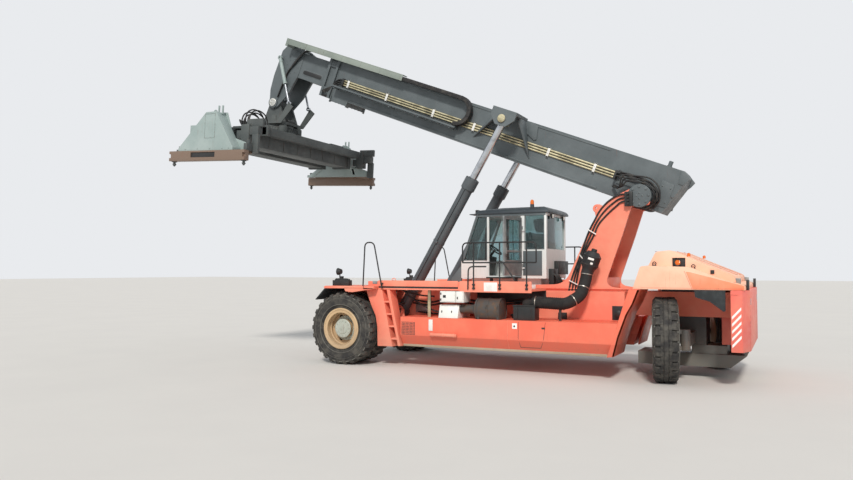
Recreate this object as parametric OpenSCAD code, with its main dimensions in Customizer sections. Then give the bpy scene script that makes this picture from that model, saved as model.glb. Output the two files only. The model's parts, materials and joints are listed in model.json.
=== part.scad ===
// Reach stacker: a container handler with a telescopic boom over a central cab.
// Millimetres. +X is forward, +Y is the driver's left, +Z is up, ground at Z = 0.
// Every module is drawn from the front axle's centre on the ground, and at_axle()
// shifts it so that the origin is the middle of the machine's outline on the ground.

/* [Running gear] */
// Front axle to the steering kingpins
wheelbase = 7550; // [7300:10:7700]
// Width over the front twin tyres
overall_w = 4150; // [4100:10:4250]
// Outside diameter of every tyre, at the lugs
tyre_d = 1680; // [1620:10:1720]
// Width of one front tyre
tyre_w = 500; // [460:5:520]
// Width of a steered rear tyre
rear_tyre_w = 480; // [440:5:490]
// Air between the two tyres of a twin
twin_gap = 40; // [20:5:80]
// Diameter of the rim where the tyre sits
rim_d = 880; // [800:5:920]
// Height of the tread lugs
lug_h = 38; // [20:1:50]
// Lugs round each shoulder of a tyre
lug_count = 26; // [16:2:32]
// Kingpin to the machine's centre line
kingpin_y = 1250; // [1230:5:1300]
// Kingpin to the middle of the steered wheel
kingpin_offset = 380; // [375:5:420]
// Angle of the left rear wheel as parked, clockwise from straight
steer_left_deg = 80; // [0:1:81]
// Angle of the right rear wheel as parked, clockwise from straight
steer_right_deg = 61; // [0:1:62]

/* [Chassis] */
// Top of the side bodies and of the walkways
deck_z = 1800; // [1780:5:1850]
// Underside of the side bodies
sill_z = 480; // [420:5:560]
// Width over the side bodies
body_w = 3700; // [3500:10:3900]
// Top of the tank shelf under the walkways
shelf_z = 1150; // [1050:5:1200]
// Thickness of the deck plates
deck_t = 40; // [20:1:50]
// Rear overhang from the kingpins to the back face
rear_overhang = 1190; // [1180:5:1300]
// Thickness of the rear wall
rear_wall_t = 160; // [100:5:165]
// Width over the boom tower's two plates
tower_w = 1440; // [1400:10:1500]
// Thickness of each tower plate
tower_t = 60; // [40:1:80]

/* [Boom] */
// Boom pivot behind the front axle
pivot_back = 6600; // [6550:5:6650]
// Boom pivot above the ground
pivot_z = 3780; // [3740:5:3820]
// Angle of the boom as parked
boom_deg = 22; // [18:1:26]
// Outer boom, pivot to collar face
outer_len = 8940; // [8800:10:9100]
// Width of the outer boom
outer_w = 860; // [840:5:900]
// Depth of the outer boom
outer_h = 980; // [960:5:1000]
// Plate thickness of the outer boom
outer_t = 22; // [16:1:30]
// Width of the inner boom
inner_w = 720; // [700:5:740]
// Depth of the inner boom
inner_h = 680; // [660:5:700]
// Plate thickness of the inner boom
inner_t = 20; // [12:1:30]
// Pivot to the front end of the inner boom
head_u = 9980; // [9900:10:10100]

/* [Lift cylinders] */
// Cylinder centre line to the machine's centre line
lift_y = 1000; // [985:5:1010]
// Outside diameter of the barrel
barrel_d = 270; // [250:5:290]
// Diameter of the rod
rod_d = 170; // [150:5:190]
// Base pin to the top of the collar
barrel_len = 3600; // [3550:10:3620]

/* [Cab] */
// Width of the cab
cab_w = 1540; // [1500:10:1560]
// Cab floor above the ground
cab_floor_z = 2020; // [2010:5:2060]
// Thickness of the cab's walls and door
cab_wall = 45; // [35:1:60]
// Angle the door stands open
door_deg = 80; // [60:1:85]

/* [Spreader] */
// Length over the end beams, closed
spreader_len = 6058; // [6000:2:6100]
// Width over the end beams
spreader_w = 2438; // [2400:2:2480]
// Spreader centre ahead of the front axle
spreader_x = 3350; // [3300:10:3400]
// Twistlock tips above the ground, in the middle
spreader_z = 4765; // [4700:5:4800]
// Front edge of the spreader raised by this angle
spreader_pitch = 3; // [0:0.5:4]

/* [Hidden] */

$fn = 48;
running = 0.05;
bead_step = 45;
slip = 0.5;
seat = 0.3;

rear_x = -(wheelbase + rear_overhang);
front_x = spreader_x + spreader_w / 2;
origin_x = -(front_x + rear_x) / 2;
tyre_r = tyre_d / 2;
rim_r = rim_d / 2;
body_y = body_w / 2;
frame_in = 560;
frame_out = 860;
side_in = frame_out + 40;

// Boom coordinates: u runs along the boom from its pivot, w stands square to it.
boom_w0 = -190;
boom_w1 = boom_w0 + outer_h;
inner_w0 = 0;
inner_w1 = inner_w0 + inner_h;
boom_tail_u = -700;
pivot_r = 90;
wall_top_z = deck_z + 40;
hood_z = wall_top_z + seat;
lug_at = [-5430, 3590];

// Lift cylinder, base pin and rod eye.
lift_base = [-1050, 1220];
lift_eye_u = 3384;
lift_eye_w = 607;
lift_eye_x = -pivot_back + lift_eye_u * cos(boom_deg) - lift_eye_w * sin(boom_deg);
lift_eye_z = pivot_z + lift_eye_u * sin(boom_deg) + lift_eye_w * cos(boom_deg);
lift_lean = atan2(lift_base[0] - lift_eye_x, lift_eye_z - lift_base[1]);
lift_span = norm([lift_eye_x - lift_base[0], lift_eye_z - lift_base[1]]);
lift_eye_half = 115;
rod_len = 3700;

// Tilt pin of the spreader, in boom coordinates.
tilt_u = 10450;
tilt_w = -870;
tilt_x = -pivot_back + tilt_u * cos(boom_deg) - tilt_w * sin(boom_deg);
tilt_z = pivot_z + tilt_u * sin(boom_deg) + tilt_w * cos(boom_deg);

module at_axle() {
    translate([origin_x, 0, 0]) children();
}

module box(x, y, z) {
    translate([x[0], y[0], z[0]]) cube([x[1] - x[0], y[1] - y[0], z[1] - z[0]]);
}

module plate_y(points, y) {
    translate([0, y[1], 0]) rotate([90, 0, 0]) linear_extrude(y[1] - y[0]) polygon(points);
}

module rod_y(r, y, x = 0, z = 0) {
    translate([x, y[0], z]) rotate([-90, 0, 0]) cylinder(r = r, h = y[1] - y[0]);
}

module side(s) {
    mirror([0, s > 0 ? 0 : 1, 0]) children();
}

module both_sides() {
    for (s = [1, -1]) side(s) children();
}

module on_boom() {
    translate([-pivot_back, 0, pivot_z]) rotate([0, -boom_deg, 0]) children();
}

module on_lift(s) {
    translate([lift_base[0], s * lift_y, lift_base[1]]) rotate([0, -lift_lean, 0]) children();
}

module on_spreader() {
    translate([spreader_x, 0, spreader_z]) rotate([0, -spreader_pitch, 0]) children();
}

// Chassis

module main_frame() at_axle() color("salmon") {
    both_sides() difference() {
        union() {
            plate_y([
                [620, deck_z - deck_t], [620, 1180], [-900, 1180], [-1000, 560],
                [-6000, 560], [-6300, 1250], [-6300, deck_z - deck_t]
            ], [frame_in, frame_out]);
            // Outer cheek that carries the foot of the lift cylinder
            plate_y([
                [lift_base[0] - 200, 940], [lift_base[0] + 200, 940],
                [lift_base[0] + 130, lift_base[1] + 60], [lift_base[0] - 130, lift_base[1] + 60]
            ], [lift_y + 140, lift_y + 170]);
            rod_y(150, [lift_y + 140, lift_y + 170], lift_base[0], lift_base[1]);
            box([lift_base[0] - 200, lift_base[0] + 200], [frame_out, lift_y + 170], [940, 980]);
        }
        rod_y(70 + running, [frame_out - 60, lift_y + 180], lift_base[0], lift_base[1]);
    }
    box([560, 620], [-frame_in, frame_in], [1180, deck_z - deck_t]);
    box([-1300, -1240], [-frame_in, frame_in], [600, deck_z - deck_t]);
    box([-4700, -4640], [-frame_in, frame_in], [600, deck_z - deck_t]);
    // Rear spine over the steered axle
    box([-wheelbase - 1030, -6240], [-420, 420], [1250, deck_z - deck_t]);
    box([-6300, -6240], [-frame_in, frame_in], [1250, deck_z - deck_t]);
}

module tower() at_axle() color("salmon") {
    base_z = deck_z - deck_t;
    both_sides() difference() {
        union() {
            plate_y([
                [-4310, base_z], [-4840, 1870], [-5140, 2150], [-5550, 3130],
                [-pivot_back + 200, pivot_z + 130], [-pivot_back, pivot_z + 240],
                [-pivot_back - 230, pivot_z + 60], [-pivot_back - 200, pivot_z - 200],
                [-6200, 2790], [-5930, 2050], [-6080, 1900], [-6450, 1850], [-6450, base_z]
            ], [tower_w / 2 - tower_t, tower_w / 2]);
            rod_y(240, [tower_w / 2 - tower_t, tower_w / 2 + 30], -pivot_back, pivot_z);
            // Lifting lug on the front edge
            rod_y(120, [tower_w / 2 - tower_t, tower_w / 2], lug_at[0], lug_at[1]);
            plate_y([[-5520, 3690], [-5340, 3640], [-5560, 3120], [-5800, 3350]], [tower_w / 2 - tower_t, tower_w / 2]);
        }
        rod_y(45, [0, tower_w], lug_at[0], lug_at[1]);
        rod_y(pivot_r + running, [0, tower_w], -pivot_back, pivot_z);
    }
    rod_y(90, [-tower_w / 2 + tower_t, tower_w / 2 - tower_t], -5650, 2500);
    box([-5900, -5860], [-tower_w / 2 + tower_t, tower_w / 2 - tower_t], [base_z, 2050]);
}

module side_body(s) side(s) {
    plate_y([
        [-1450, sill_z], [-6000, sill_z], [-6270, sill_z + 30], [-6740, deck_z - 50],
        [-6740, deck_z], [-4750, deck_z], [-4600, shelf_z], [-1450, shelf_z]
    ], [side_in, body_y]);
    // Brackets to the frame beam
    for (x = [-1900, -3700, -5500]) box([x, x + 160], [frame_out + seat, side_in + 1], [sill_z + 160, shelf_z - 60]);
}

module side_body_left() at_axle() color("salmon") side_body(1);

module side_body_right() at_axle() color("salmon") side_body(-1);

module walkway() at_axle() color("salmon") both_sides() {
    difference() {
        box([-4600, -620], [frame_out, body_y], [deck_z - deck_t, deck_z]);
        box([-1750, -1080], [lift_y - 190, lift_y + 190], [deck_z - 100, deck_z + 10]);
    }
    box([-3560, -620], [body_y - 20, body_y], [deck_z, deck_z + 150]);
    // Panel behind the front wheels, shaped round the tyre
    plate_y([
        [-640, deck_z - deck_t], [-800, 1300], [-870, 900], [-880, sill_z - 20],
        [-1000, sill_z - 20], [-990, 900], [-900, deck_z - deck_t]
    ], [1190, body_y]);
}

module fenders() at_axle() color("salmon") both_sides() {
    plate_y([
        [-620, deck_z], [500, deck_z], [890, 1490], [860, 1460], [480, deck_z - 45], [-620, deck_z - 45]
    ], [frame_out, overall_w / 2]);
}

module drive_axle() at_axle() color("dimgray") {
    rod_y(210, [-1000, 1000], 0, tyre_r);
    translate([0, 0, tyre_r]) sphere(r = 380);
    rod_y(150, [-1500, 1500], 0, tyre_r);
    both_sides() box([-200, 200], [620, 820], [tyre_r, 1180]);
}

module steer_axle() at_axle() color("dimgray") {
    translate([-wheelbase, 0, 0]) {
        box([-95, 95], [-kingpin_y, kingpin_y], [tyre_r - 120, tyre_r + 120]);
        for (s = [1, -1]) translate([0, s * kingpin_y, tyre_r - 120]) cylinder(r = 95, h = 240);
        box([-300, 300], [-400, 400], [tyre_r - 160, 1250]);
    }
}

module counterweight() at_axle() color("salmon") {
    box([rear_x, rear_x + rear_wall_t], [-body_y, body_y], [690, wall_top_z]);
    box([rear_x + rear_wall_t, -wheelbase - 600], [-420, 420], [330, 1250]);
    box([rear_x + 60, -wheelbase + 500], [-420, 420], [330, 600]);
}

module hood() at_axle() color("lightsalmon") difference() {
    union() {
        plate_y([
            [-6610, hood_z], [-6780, 2280], [-6930, 2360], [-8350, 2150], [rear_x + 60, 1900], [rear_x + 60, hood_z]
        ], [-body_y + 60, body_y - 60]);
        plate_y([
            [-6900, 2300], [-7070, 2580], [-7310, 2600], [-8500, 2090]
        ], [-1500, 1500]);
    }
    plate_y([
        [-6700, 1840], [-6850, 2230], [-6960, 2290], [-7110, 2520], [-7300, 2540], [-8420, 2060], [-8600, 1840]
    ], [-1440, 1440]);
    both_sides() plate_y([
        [-6700, 1840], [-6850, 2230], [-6960, 2290], [-8330, 2090], [-8600, 1840]
    ], [1400, body_y - 120]);
}

module engine() at_axle() color("dimgray")
    box([-8060, -6980], [-400, 400], [deck_z - deck_t, 2200]);

// Wheels

module tyre(width) {
    shoulder = tyre_r - lug_h;
    half = width / 2;
    lug_w = 90;
    tip = sqrt(pow(tyre_r, 2) - pow(lug_w / 2, 2));
    // Half of the cross section, bead to crown: radius and distance from the middle
    section = [
        [rim_r + seat, half - bead_step], [rim_r + 70, half - bead_step], [rim_r + 110, half - 5],
        [shoulder - 120, half], [shoulder - 20, half - 35], [shoulder, half - 90]
    ];
    last = len(section) - 1;
    rotate_extrude() polygon(concat(section, [for (i = [last : -1 : 0]) [section[i][0], -section[i][1]]]));
    // Shoulder lugs, cut back at the outer corner so that a steered tyre clears the rear wall
    for (i = [0 : lug_count - 1]) for (s = [0, 1])
        mirror([0, 0, s]) rotate([0, 0, (i + s / 2) * 360 / lug_count]) rotate([90, 0, 0])
            translate([0, 0, -lug_w / 2]) linear_extrude(lug_w) polygon([
                [shoulder - 90, half - 190], [tip, half - 190], [tip, half - 60],
                [shoulder - 25, half - 8], [shoulder - 90, half - 8]
            ]);
}

module rim(width, hub_r, face) {
    difference() {
        union() {
            cylinder(r = rim_r, h = width - 2 * bead_step + 50, center = true);
            for (s = [1, -1]) translate([0, 0, s * (width / 2 - bead_step + seat + 12) - 12])
                cylinder(r = rim_r + 32, h = 24);
        }
        translate([0, 0, -width]) cylinder(r = rim_r - 60, h = 2 * width);
    }
    translate([0, 0, face - 60]) difference() {
        cylinder(r = rim_r - 50, h = 40);
        for (i = [0 : 5]) rotate([0, 0, i * 60]) translate([300, 0, -1]) cylinder(r = 45, h = 60);
    }
    translate([0, 0, face - 60]) cylinder(r = hub_r, h = 200);
}

module front_wheel_at(s) {
    translate([0, 0, tyre_r]) rotate([-s * 90, 0, 0]) children();
}

outer_mid = overall_w / 2 - tyre_w / 2;
inner_mid = outer_mid - tyre_w - twin_gap;

module front_tyres(s) front_wheel_at(s) for (m = [outer_mid, inner_mid]) translate([0, 0, m]) tyre(tyre_w);

module front_rims(s) front_wheel_at(s) difference() {
    union() {
        translate([0, 0, outer_mid]) rim(tyre_w, 205, 0);
        translate([0, 0, inner_mid]) rim(tyre_w, 205, 150);
        translate([0, 0, inner_mid]) cylinder(r = 205, h = outer_mid - inner_mid);
    }
    cylinder(r = 150 + running, h = 1500 + seat);
}

module front_tyres_left() at_axle() color("dimgray") front_tyres(1);

module front_tyres_right() at_axle() color("dimgray") front_tyres(-1);

module front_rims_left() at_axle() color("wheat") front_rims(1);

module front_rims_right() at_axle() color("wheat") front_rims(-1);

module rear_wheel_at(s) {
    angle = s > 0 ? steer_left_deg : steer_right_deg;
    translate([-wheelbase, s * kingpin_y, tyre_r]) rotate([0, 0, -angle]) rotate([-s * 90, 0, 0]) children();
}

module rear_rim(s) rear_wheel_at(s) difference() {
    translate([0, 0, kingpin_offset]) rim(rear_tyre_w, 180, -100);
    cylinder(r = 70 + running, h = kingpin_offset);
}

module rear_tyre_left() at_axle() color("dimgray")
    rear_wheel_at(1) translate([0, 0, kingpin_offset]) tyre(rear_tyre_w);

module rear_tyre_right() at_axle() color("dimgray")
    rear_wheel_at(-1) translate([0, 0, kingpin_offset]) tyre(rear_tyre_w);

module rear_rim_left() at_axle() color("wheat") rear_rim(1);

module rear_rim_right() at_axle() color("wheat") rear_rim(-1);

module knuckle(s) {
    angle = s > 0 ? steer_left_deg : steer_right_deg;
    translate([-wheelbase, s * kingpin_y, tyre_r]) rotate([0, 0, -angle]) side(s) {
        for (z = [120 + slip, -200 - slip]) translate([0, 0, z]) cylinder(r = 95, h = 80);
        box([-60, 60], [110, 150], [-200 - slip, 200 + slip]);
        for (z = [120 + slip, -200 - slip]) box([-60, 60], [60, 150], [z, z + 80]);
        rod_y(70, [140, kingpin_offset - seat]);
    }
}

module knuckle_left() at_axle() color("dimgray") knuckle(1);

module knuckle_right() at_axle() color("dimgray") knuckle(-1);

// Boom

module boom_outer() at_axle() color("gray") on_boom() {
    difference() {
        union() {
            plate_y([
                [boom_tail_u, 500], [boom_tail_u, boom_w1 - 80], [boom_tail_u + 60, boom_w1],
                [outer_len, boom_w1], [outer_len, boom_w0], [boom_tail_u + 200, boom_w0]
            ], [-outer_w / 2, outer_w / 2]);
            for (u = [outer_len - 70, outer_len - 330])
                box([u, u + 70], [-outer_w / 2 - 60, outer_w / 2 + 60], [boom_w0 - 60, boom_w1 + 40]);
        }
        box([600, outer_len + 10], [-outer_w / 2 + outer_t, outer_w / 2 - outer_t],
            [boom_w0 + outer_t, boom_w1 - outer_t]);
        rod_y(pivot_r + running, [-outer_w, outer_w]);
    }
    // Wear pads at the collar, under, over and beside the inner boom
    box([outer_len - 300, outer_len], [-inner_w / 2, inner_w / 2], [boom_w0 + outer_t, inner_w0 - slip]);
    box([outer_len - 300, outer_len], [-inner_w / 2, inner_w / 2], [inner_w1 + slip, boom_w1 - outer_t]);
    both_sides() box([outer_len - 300, outer_len], [inner_w / 2 + slip, outer_w / 2 - outer_t], [100, 500]);
    box([outer_len - 900, outer_len - 350], [-outer_w / 2, outer_w / 2], [boom_w0 - 110, boom_w0]);
    // Cylinder brackets
    both_sides() {
        // Cover plate, slotted over the rod's eye
        difference() {
            box([3080, 3680], [outer_w / 2, lift_y + 180], [790, 830]);
            box([3320, 3700], [lift_y - 125, lift_y + 125], [780, 840]);
        }
        plate_y([[3080, 830], [3080, 640], [3250, 450], [3510, 450], [3680, 640], [3680, 830]],
            [lift_y + 130, lift_y + 180]);
        rod_y(95, [lift_y + 116, lift_y + 200], lift_eye_u, lift_eye_w);
    }
    // Pivot pin
    rod_y(pivot_r, [-tower_w / 2, tower_w / 2]);
    both_sides() rod_y(200, [outer_w / 2, tower_w / 2 - tower_t - slip]);
    // Chain tray along the left side
    box([4700, 8500], [outer_w / 2, outer_w / 2 + 260], [60, 80]);
}

module boom_pipes() at_axle() color("beige") on_boom() both_sides()
    for (w = [200, 260, 320]) translate([700, outer_w / 2 + 21 + seat, w]) rotate([0, 90, 0]) cylinder(r = 21, h = 7600);

module chain_run() at_axle() color("dimgray") on_boom()
    box([4800, 8400], [outer_w / 2 + 60, outer_w / 2 + 220], [80 + seat, 130]);

module chain_loop() at_axle() color("dimgray") on_boom() {
    translate([4800, outer_w / 2 + 60, 498]) rotate([-90, 0, 0]) difference() {
        cylinder(r = 362, h = 160);
        translate([0, 0, -1]) cylinder(r = 272, h = 162);
        translate([0, -400, -1]) cube([400, 800, 162]);
    }
    box([4800, 9000], [outer_w / 2 + 60, outer_w / 2 + 220], [770, 860]);
}

module boom_inner() at_axle() color("gray") {
    damper_pins();
    on_boom() inner_tube();
}

module inner_tube() {
    difference() {
        box([2600, head_u], [-inner_w / 2, inner_w / 2], [inner_w0, inner_w1]);
        box([2590, head_u - 100], [-inner_w / 2 + inner_t, inner_w / 2 - inner_t], [inner_w0 + inner_t, inner_w1 - inner_t]);
    }
    both_sides() difference() {
        plate_y([
            [head_u - 60, inner_w1], [head_u - 60, inner_w0], [head_u + 60, -500], [tilt_u - 180, tilt_w - 60],
            [tilt_u - 60, tilt_w - 160], [tilt_u + 100, tilt_w - 120], [10690, -560], [10720, -160], [10690, 560],
            [10560, 760], [10300, 800]
        ], [inner_w / 2 - 60, inner_w / 2]);
        rod_y(80 + running, [0, inner_w], tilt_u, tilt_w);
    }
    box([10100, 10500], [-inner_w / 2 + 60, inner_w / 2 - 60], [100, 600]);
}

// Pins on the head that the dampers hang from
module damper_pins() both_sides()
    translate([damper_top[0], 0, damper_top[1]]) rod_y(30, [inner_w / 2 - 30, damper_y + 34]);

module chain_cover() at_axle() color("lightgray") on_boom() {
    box([6520, 10400], [outer_w / 2 + 40, outer_w / 2 + 240], [890, 910]);
    box([10320, 10400], [inner_w / 2 + seat, outer_w / 2 + 240], [700, 891]);
}

module lift_barrel(s) on_lift(s) {
    rod_y(150, [-lift_eye_half, lift_eye_half]);
    difference() {
        union() {
            translate([0, 0, 100]) cylinder(d = barrel_d, h = barrel_len - 100);
            translate([0, 0, barrel_len - 260]) cylinder(d = barrel_d + 60, h = 260);
        }
        translate([0, 0, 240]) cylinder(d = rod_d + 2 * running, h = barrel_len);
    }
}

module lift_pin(s) side(s) rod_y(70, [frame_out - 40, lift_y + 178], lift_base[0], lift_base[1]);

module lift_barrel_left() at_axle() color("slategray") {
    lift_barrel(1);
    lift_pin(1);
}

module lift_barrel_right() at_axle() color("slategray") {
    lift_barrel(-1);
    lift_pin(-1);
}

module lift_rod(s) on_lift(s) {
    translate([0, 0, lift_span - rod_len]) cylinder(d = rod_d, h = rod_len - 100);
    translate([0, 0, lift_span]) difference() {
        rod_y(150, [-lift_eye_half, lift_eye_half]);
        rod_y(75, [-lift_eye_half - 1, lift_eye_half + 1]);
    }
}

module lift_rod_left() at_axle() color("silver") lift_rod(1);

module lift_rod_right() at_axle() color("silver") lift_rod(-1);

// Cab

cab_front = -2510;
cab_front_top = -2900;
cab_post = -3170;
cab_pillar = -4020;
cab_rear = -4580;
cab_roof_z = 3500;
hinge_z = [2300, 3150];

module cab_outline(inset = 0) {
    polygon([
        [cab_front - inset, cab_floor_z + inset], [cab_front - inset, 2410],
        [cab_front_top - inset, cab_roof_z - inset], [cab_rear + inset, cab_roof_z - inset],
        [cab_rear + inset, cab_floor_z + inset]
    ]);
}

module cab_shell() at_axle() color("lightgray") {
    half = cab_w / 2;
    difference() {
        translate([0, half, 0]) rotate([90, 0, 0]) linear_extrude(cab_w) cab_outline();
        translate([0, half - cab_wall, 0]) rotate([90, 0, 0]) linear_extrude(cab_w - 2 * cab_wall) cab_outline(cab_wall);
        // Windscreen, rear and side windows, door opening
        box([-3100, -2400], [-half + 90, half - 90], [2420, 3420]);
        box([-4700, -4500], [-half + 90, half - 90], [2690, 3420]);
        box([-4500, -4100], [-half - 1, half + 1], [2690, 3400]);
        box([-3980, -3230], [-half - 1, -half + 100], [2420, 3400]);
        box([-3980, -3210], [half - 100, half + 1], [cab_floor_z + 60, 3400]);
        box([-3130, -2900], [-half - 1, half + 1], [2420, 3300]);
    }
    box([-4640, -2960], [-half - 30, half + 30], [cab_roof_z, cab_roof_z + 70]);
    box([-4400, -2700], [-600, 600], [deck_z - deck_t, cab_floor_z]);
    // Hinge brackets and pins of the door
    for (z = hinge_z) {
        box([cab_pillar - 60, cab_pillar], [half - 10, half + 30 + 12], [z - 60, z - 30]);
        translate([cab_pillar, half + 30, z - 60]) cylinder(r = 12, h = 120);
    }
}

module cab_glass() at_axle() color("teal", 0.4) {
    half = cab_w / 2;
    box([-4570, -4560], [-half + 90 + seat, half - 90 - seat], [2690 + seat, 3420 - seat]);
}

module cab_door() at_axle() color("lightgray") {
    half = cab_w / 2;
    translate([cab_pillar, half + 30, 0]) rotate([0, 0, door_deg]) difference() {
        union() {
            box([40, 800], [-cab_wall / 2, cab_wall / 2], [cab_floor_z + 70, 3390]);
            for (z = hinge_z) {
                translate([0, 0, z - 30 + seat]) cylinder(r = 24, h = 80);
                box([0, 50], [-12, 12], [z - 30 + seat, z + 50]);
            }
        }
        box([110, 730], [-cab_wall, cab_wall], [2430, 3320]);
        for (z = hinge_z) translate([0, 0, z - 70]) cylinder(r = 12 + running, h = 140);
    }
}

module cab_seat() at_axle() color("dimgray") {
    box([-4050, -3500], [-260, 260], [cab_floor_z + cab_wall, 2500]);
    box([-4150, -4020], [-260, 260], [2500, 3150]);
}

// Spreader

// Tilt pin seen in the spreader's own coordinates, and the slew axis in them
pin_x = (tilt_x - spreader_x) * cos(spreader_pitch) + (tilt_z - spreader_z) * sin(spreader_pitch);
pin_z = (tilt_z - spreader_z) * cos(spreader_pitch) - (tilt_x - spreader_x) * sin(spreader_pitch);
slew_x = 270;
slew_z = 1420;

module hanger() at_axle() color("gray") on_spreader() {
    cheek = inner_w / 2 - 60 - slip;
    // Head plate over the slewing ring
    translate([slew_x, 0, slew_z + slip]) cylinder(r = 470, h = 90);
    both_sides() plate_y([
        [pin_x - 420, slew_z + 50], [pin_x + 420, slew_z + 50], [pin_x + 160, pin_z], [pin_x - 160, pin_z]
    ], [cheek - 60, cheek]);
    rod_y(160, [-cheek, cheek], pin_x, pin_z);
    rod_y(80, [-inner_w / 2, inner_w / 2], pin_x, pin_z);
    // Arms back to the dampers
    box([pin_x - 420, pin_x + 100], [-damper_y - 60, damper_y + 60], [slew_z + 80, slew_z + 150]);
    both_sides() plate_y([
        [pin_x - 800, pin_z - 190], [pin_x - 640, pin_z - 60], [pin_x - 300, slew_z + 150], [pin_x - 420, slew_z + 80]
    ], [damper_y + 30 + slip, damper_y + 60]);
}

damper_top = [tilt_x - 300, tilt_z + 1200];
damper_low = [tilt_x - 610, tilt_z - 100];
damper_lean = atan2(damper_top[0] - damper_low[0], damper_top[1] - damper_low[1]);
damper_span = norm(damper_top - damper_low);
damper_y = inner_w / 2 + 90;

module on_damper(s) {
    translate([damper_top[0], s * damper_y, damper_top[1]]) rotate([0, 180 + damper_lean, 0]) children();
}

module damper_barrels() at_axle() color("gray") for (s = [1, -1]) on_damper(s) difference() {
    union() {
        rod_y(60, [-30, 30]);
        cylinder(r = 50, h = 760);
    }
    translate([0, 0, 120]) cylinder(r = 30 + running, h = 760);
    rod_y(30 + running, [-51, 51]);
}

module damper_rods() at_axle() color("silver") for (s = [1, -1]) on_damper(s) {
    translate([0, 0, damper_span - 800]) cylinder(r = 30, h = 760);
    translate([0, 0, damper_span]) difference() {
        rod_y(55, [-30, 30]);
        rod_y(30, [-31, 31]);
    }
}

module rotator() at_axle() color("dimgray") {
    on_spreader() {
        translate([slew_x, 0, 1240]) cylinder(r = 560, h = slew_z - 1240);
        box([-300, 800], [-500, 500], [1050 + slip, 1240]);
    }
}

module spreader_frame() at_axle() color("gray") on_spreader() {
    for (x = [-700, 200]) difference() {
        box([x, x + 500], [-2300, 2300], [600, 1050]);
        box([x + 20, x + 480], [-2310, 2310], [620, 1030]);
    }
    box([-200, 200], [-600, 600], [700, 1000]);
}

module spreader_end(s) {
    x = s > 0 ? 225 : -675;
    box([x, x + 450], s > 0 ? [-1500, 2900] : [-2900, 1500], [620 + slip, 1030 - slip]);
    side(s) {
        box([-spreader_w / 2, spreader_w / 2], [spreader_len / 2 - 150, spreader_len / 2], [120, 360]);
        plate_y([[1000, 360], [-770, 360], [-245, 1300], [127, 1300]], [2700, spreader_len / 2 - 20]);
        for (x = [-1130, 1130]) translate([x, 2926, 0]) {
            translate([0, 0, 60]) cylinder(r = 30, h = 60);
            cylinder(r1 = 15, r2 = 50, h = 60);
        }
    }
}

module spreader_end_left() at_axle() color("silver") on_spreader() spreader_end(1);

module spreader_end_right() at_axle() color("silver") on_spreader() spreader_end(-1);

// Fittings

module handrails() at_axle() color("black") both_sides() {
    for (x = [-3300, -4310]) box([x - 15, x + 15], [1785, 1815], [deck_z, 2810]);
    for (z = [2380, 2780]) box([-4700, -3040], [1785, 1815], [z, z + 30]);
}

module muffler() at_axle() color("saddlebrown")
    translate([-3880, 1500, shelf_z + 240 + seat]) rotate([0, 90, 0]) cylinder(r = 240, h = 660);

module intake_duct() at_axle() color("black") {
    translate([-5650, 1100, deck_z + seat]) cylinder(r = 110, h = 500);
}

main_frame();
tower();
side_body_left();
side_body_right();
walkway();
fenders();
drive_axle();
steer_axle();
counterweight();
hood();
engine();
front_tyres_left();
front_tyres_right();
front_rims_left();
front_rims_right();
rear_tyre_left();
rear_tyre_right();
rear_rim_left();
rear_rim_right();
knuckle_left();
knuckle_right();
boom_outer();
boom_pipes();
chain_run();
chain_loop();
boom_inner();
chain_cover();
lift_barrel_left();
lift_barrel_right();
lift_rod_left();
lift_rod_right();
cab_shell();
cab_glass();
cab_door();
cab_seat();
hanger();
damper_barrels();
damper_rods();
rotator();
spreader_frame();
spreader_end_left();
spreader_end_right();
handrails();
muffler();
intake_duct();
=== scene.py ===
"""Looks of the reach stacker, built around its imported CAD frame.

Metres. +X is forward, +Y is the driver's left, +Z is up, ground at Z = 0.
Pieces are drawn in millimetres of a place on the machine, such as the chassis or the boom.
"""

import json
import math

import bmesh
import bpy
from mathutils import Matrix, Vector


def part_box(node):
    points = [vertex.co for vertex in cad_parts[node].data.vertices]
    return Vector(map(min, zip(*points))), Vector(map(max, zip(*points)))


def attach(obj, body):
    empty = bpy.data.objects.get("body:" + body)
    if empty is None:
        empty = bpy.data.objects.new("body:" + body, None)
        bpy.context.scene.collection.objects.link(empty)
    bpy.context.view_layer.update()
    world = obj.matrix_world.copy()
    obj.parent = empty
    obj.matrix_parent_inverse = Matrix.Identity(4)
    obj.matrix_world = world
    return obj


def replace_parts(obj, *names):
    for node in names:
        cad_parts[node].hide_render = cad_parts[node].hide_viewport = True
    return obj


bl_info = {
    "name": "Reach stacker",
    "version": (1, 0, 0),
    "blender": (4, 5, 0),
    "location": "View3D > Sidebar > Reach stacker",
    "description": "Paints and details the reach stacker around its CAD frame",
    "category": "Object",
}

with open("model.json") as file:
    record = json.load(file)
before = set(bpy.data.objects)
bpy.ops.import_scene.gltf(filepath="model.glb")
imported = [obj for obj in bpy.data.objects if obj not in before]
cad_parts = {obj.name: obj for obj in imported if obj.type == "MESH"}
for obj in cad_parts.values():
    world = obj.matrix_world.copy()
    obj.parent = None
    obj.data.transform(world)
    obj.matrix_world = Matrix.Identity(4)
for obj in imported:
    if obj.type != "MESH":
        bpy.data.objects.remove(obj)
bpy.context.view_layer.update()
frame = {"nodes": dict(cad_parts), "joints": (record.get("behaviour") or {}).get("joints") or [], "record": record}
SLOT_OF_NODE = {row["node"]: row["material_slot"] for row in frame["record"]["subparts"]}
JOINTS = {j["name"]: j for j in frame["joints"]}
X, Y, Z = (1, 0, 0), (0, 1, 0), (0, 0, 1)
MIRROR = Matrix.Scale(-1, 4, Y)
# A side's name, its sign along Y, and the turn that carries a left-hand solid over to it
SIDES = (("left", 1, None), ("right", -1, MIRROR))
HALVES = tuple(row[1:] for row in SIDES)
SLEW_X = 270  # Slew axis in the spreader's own millimetres


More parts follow.
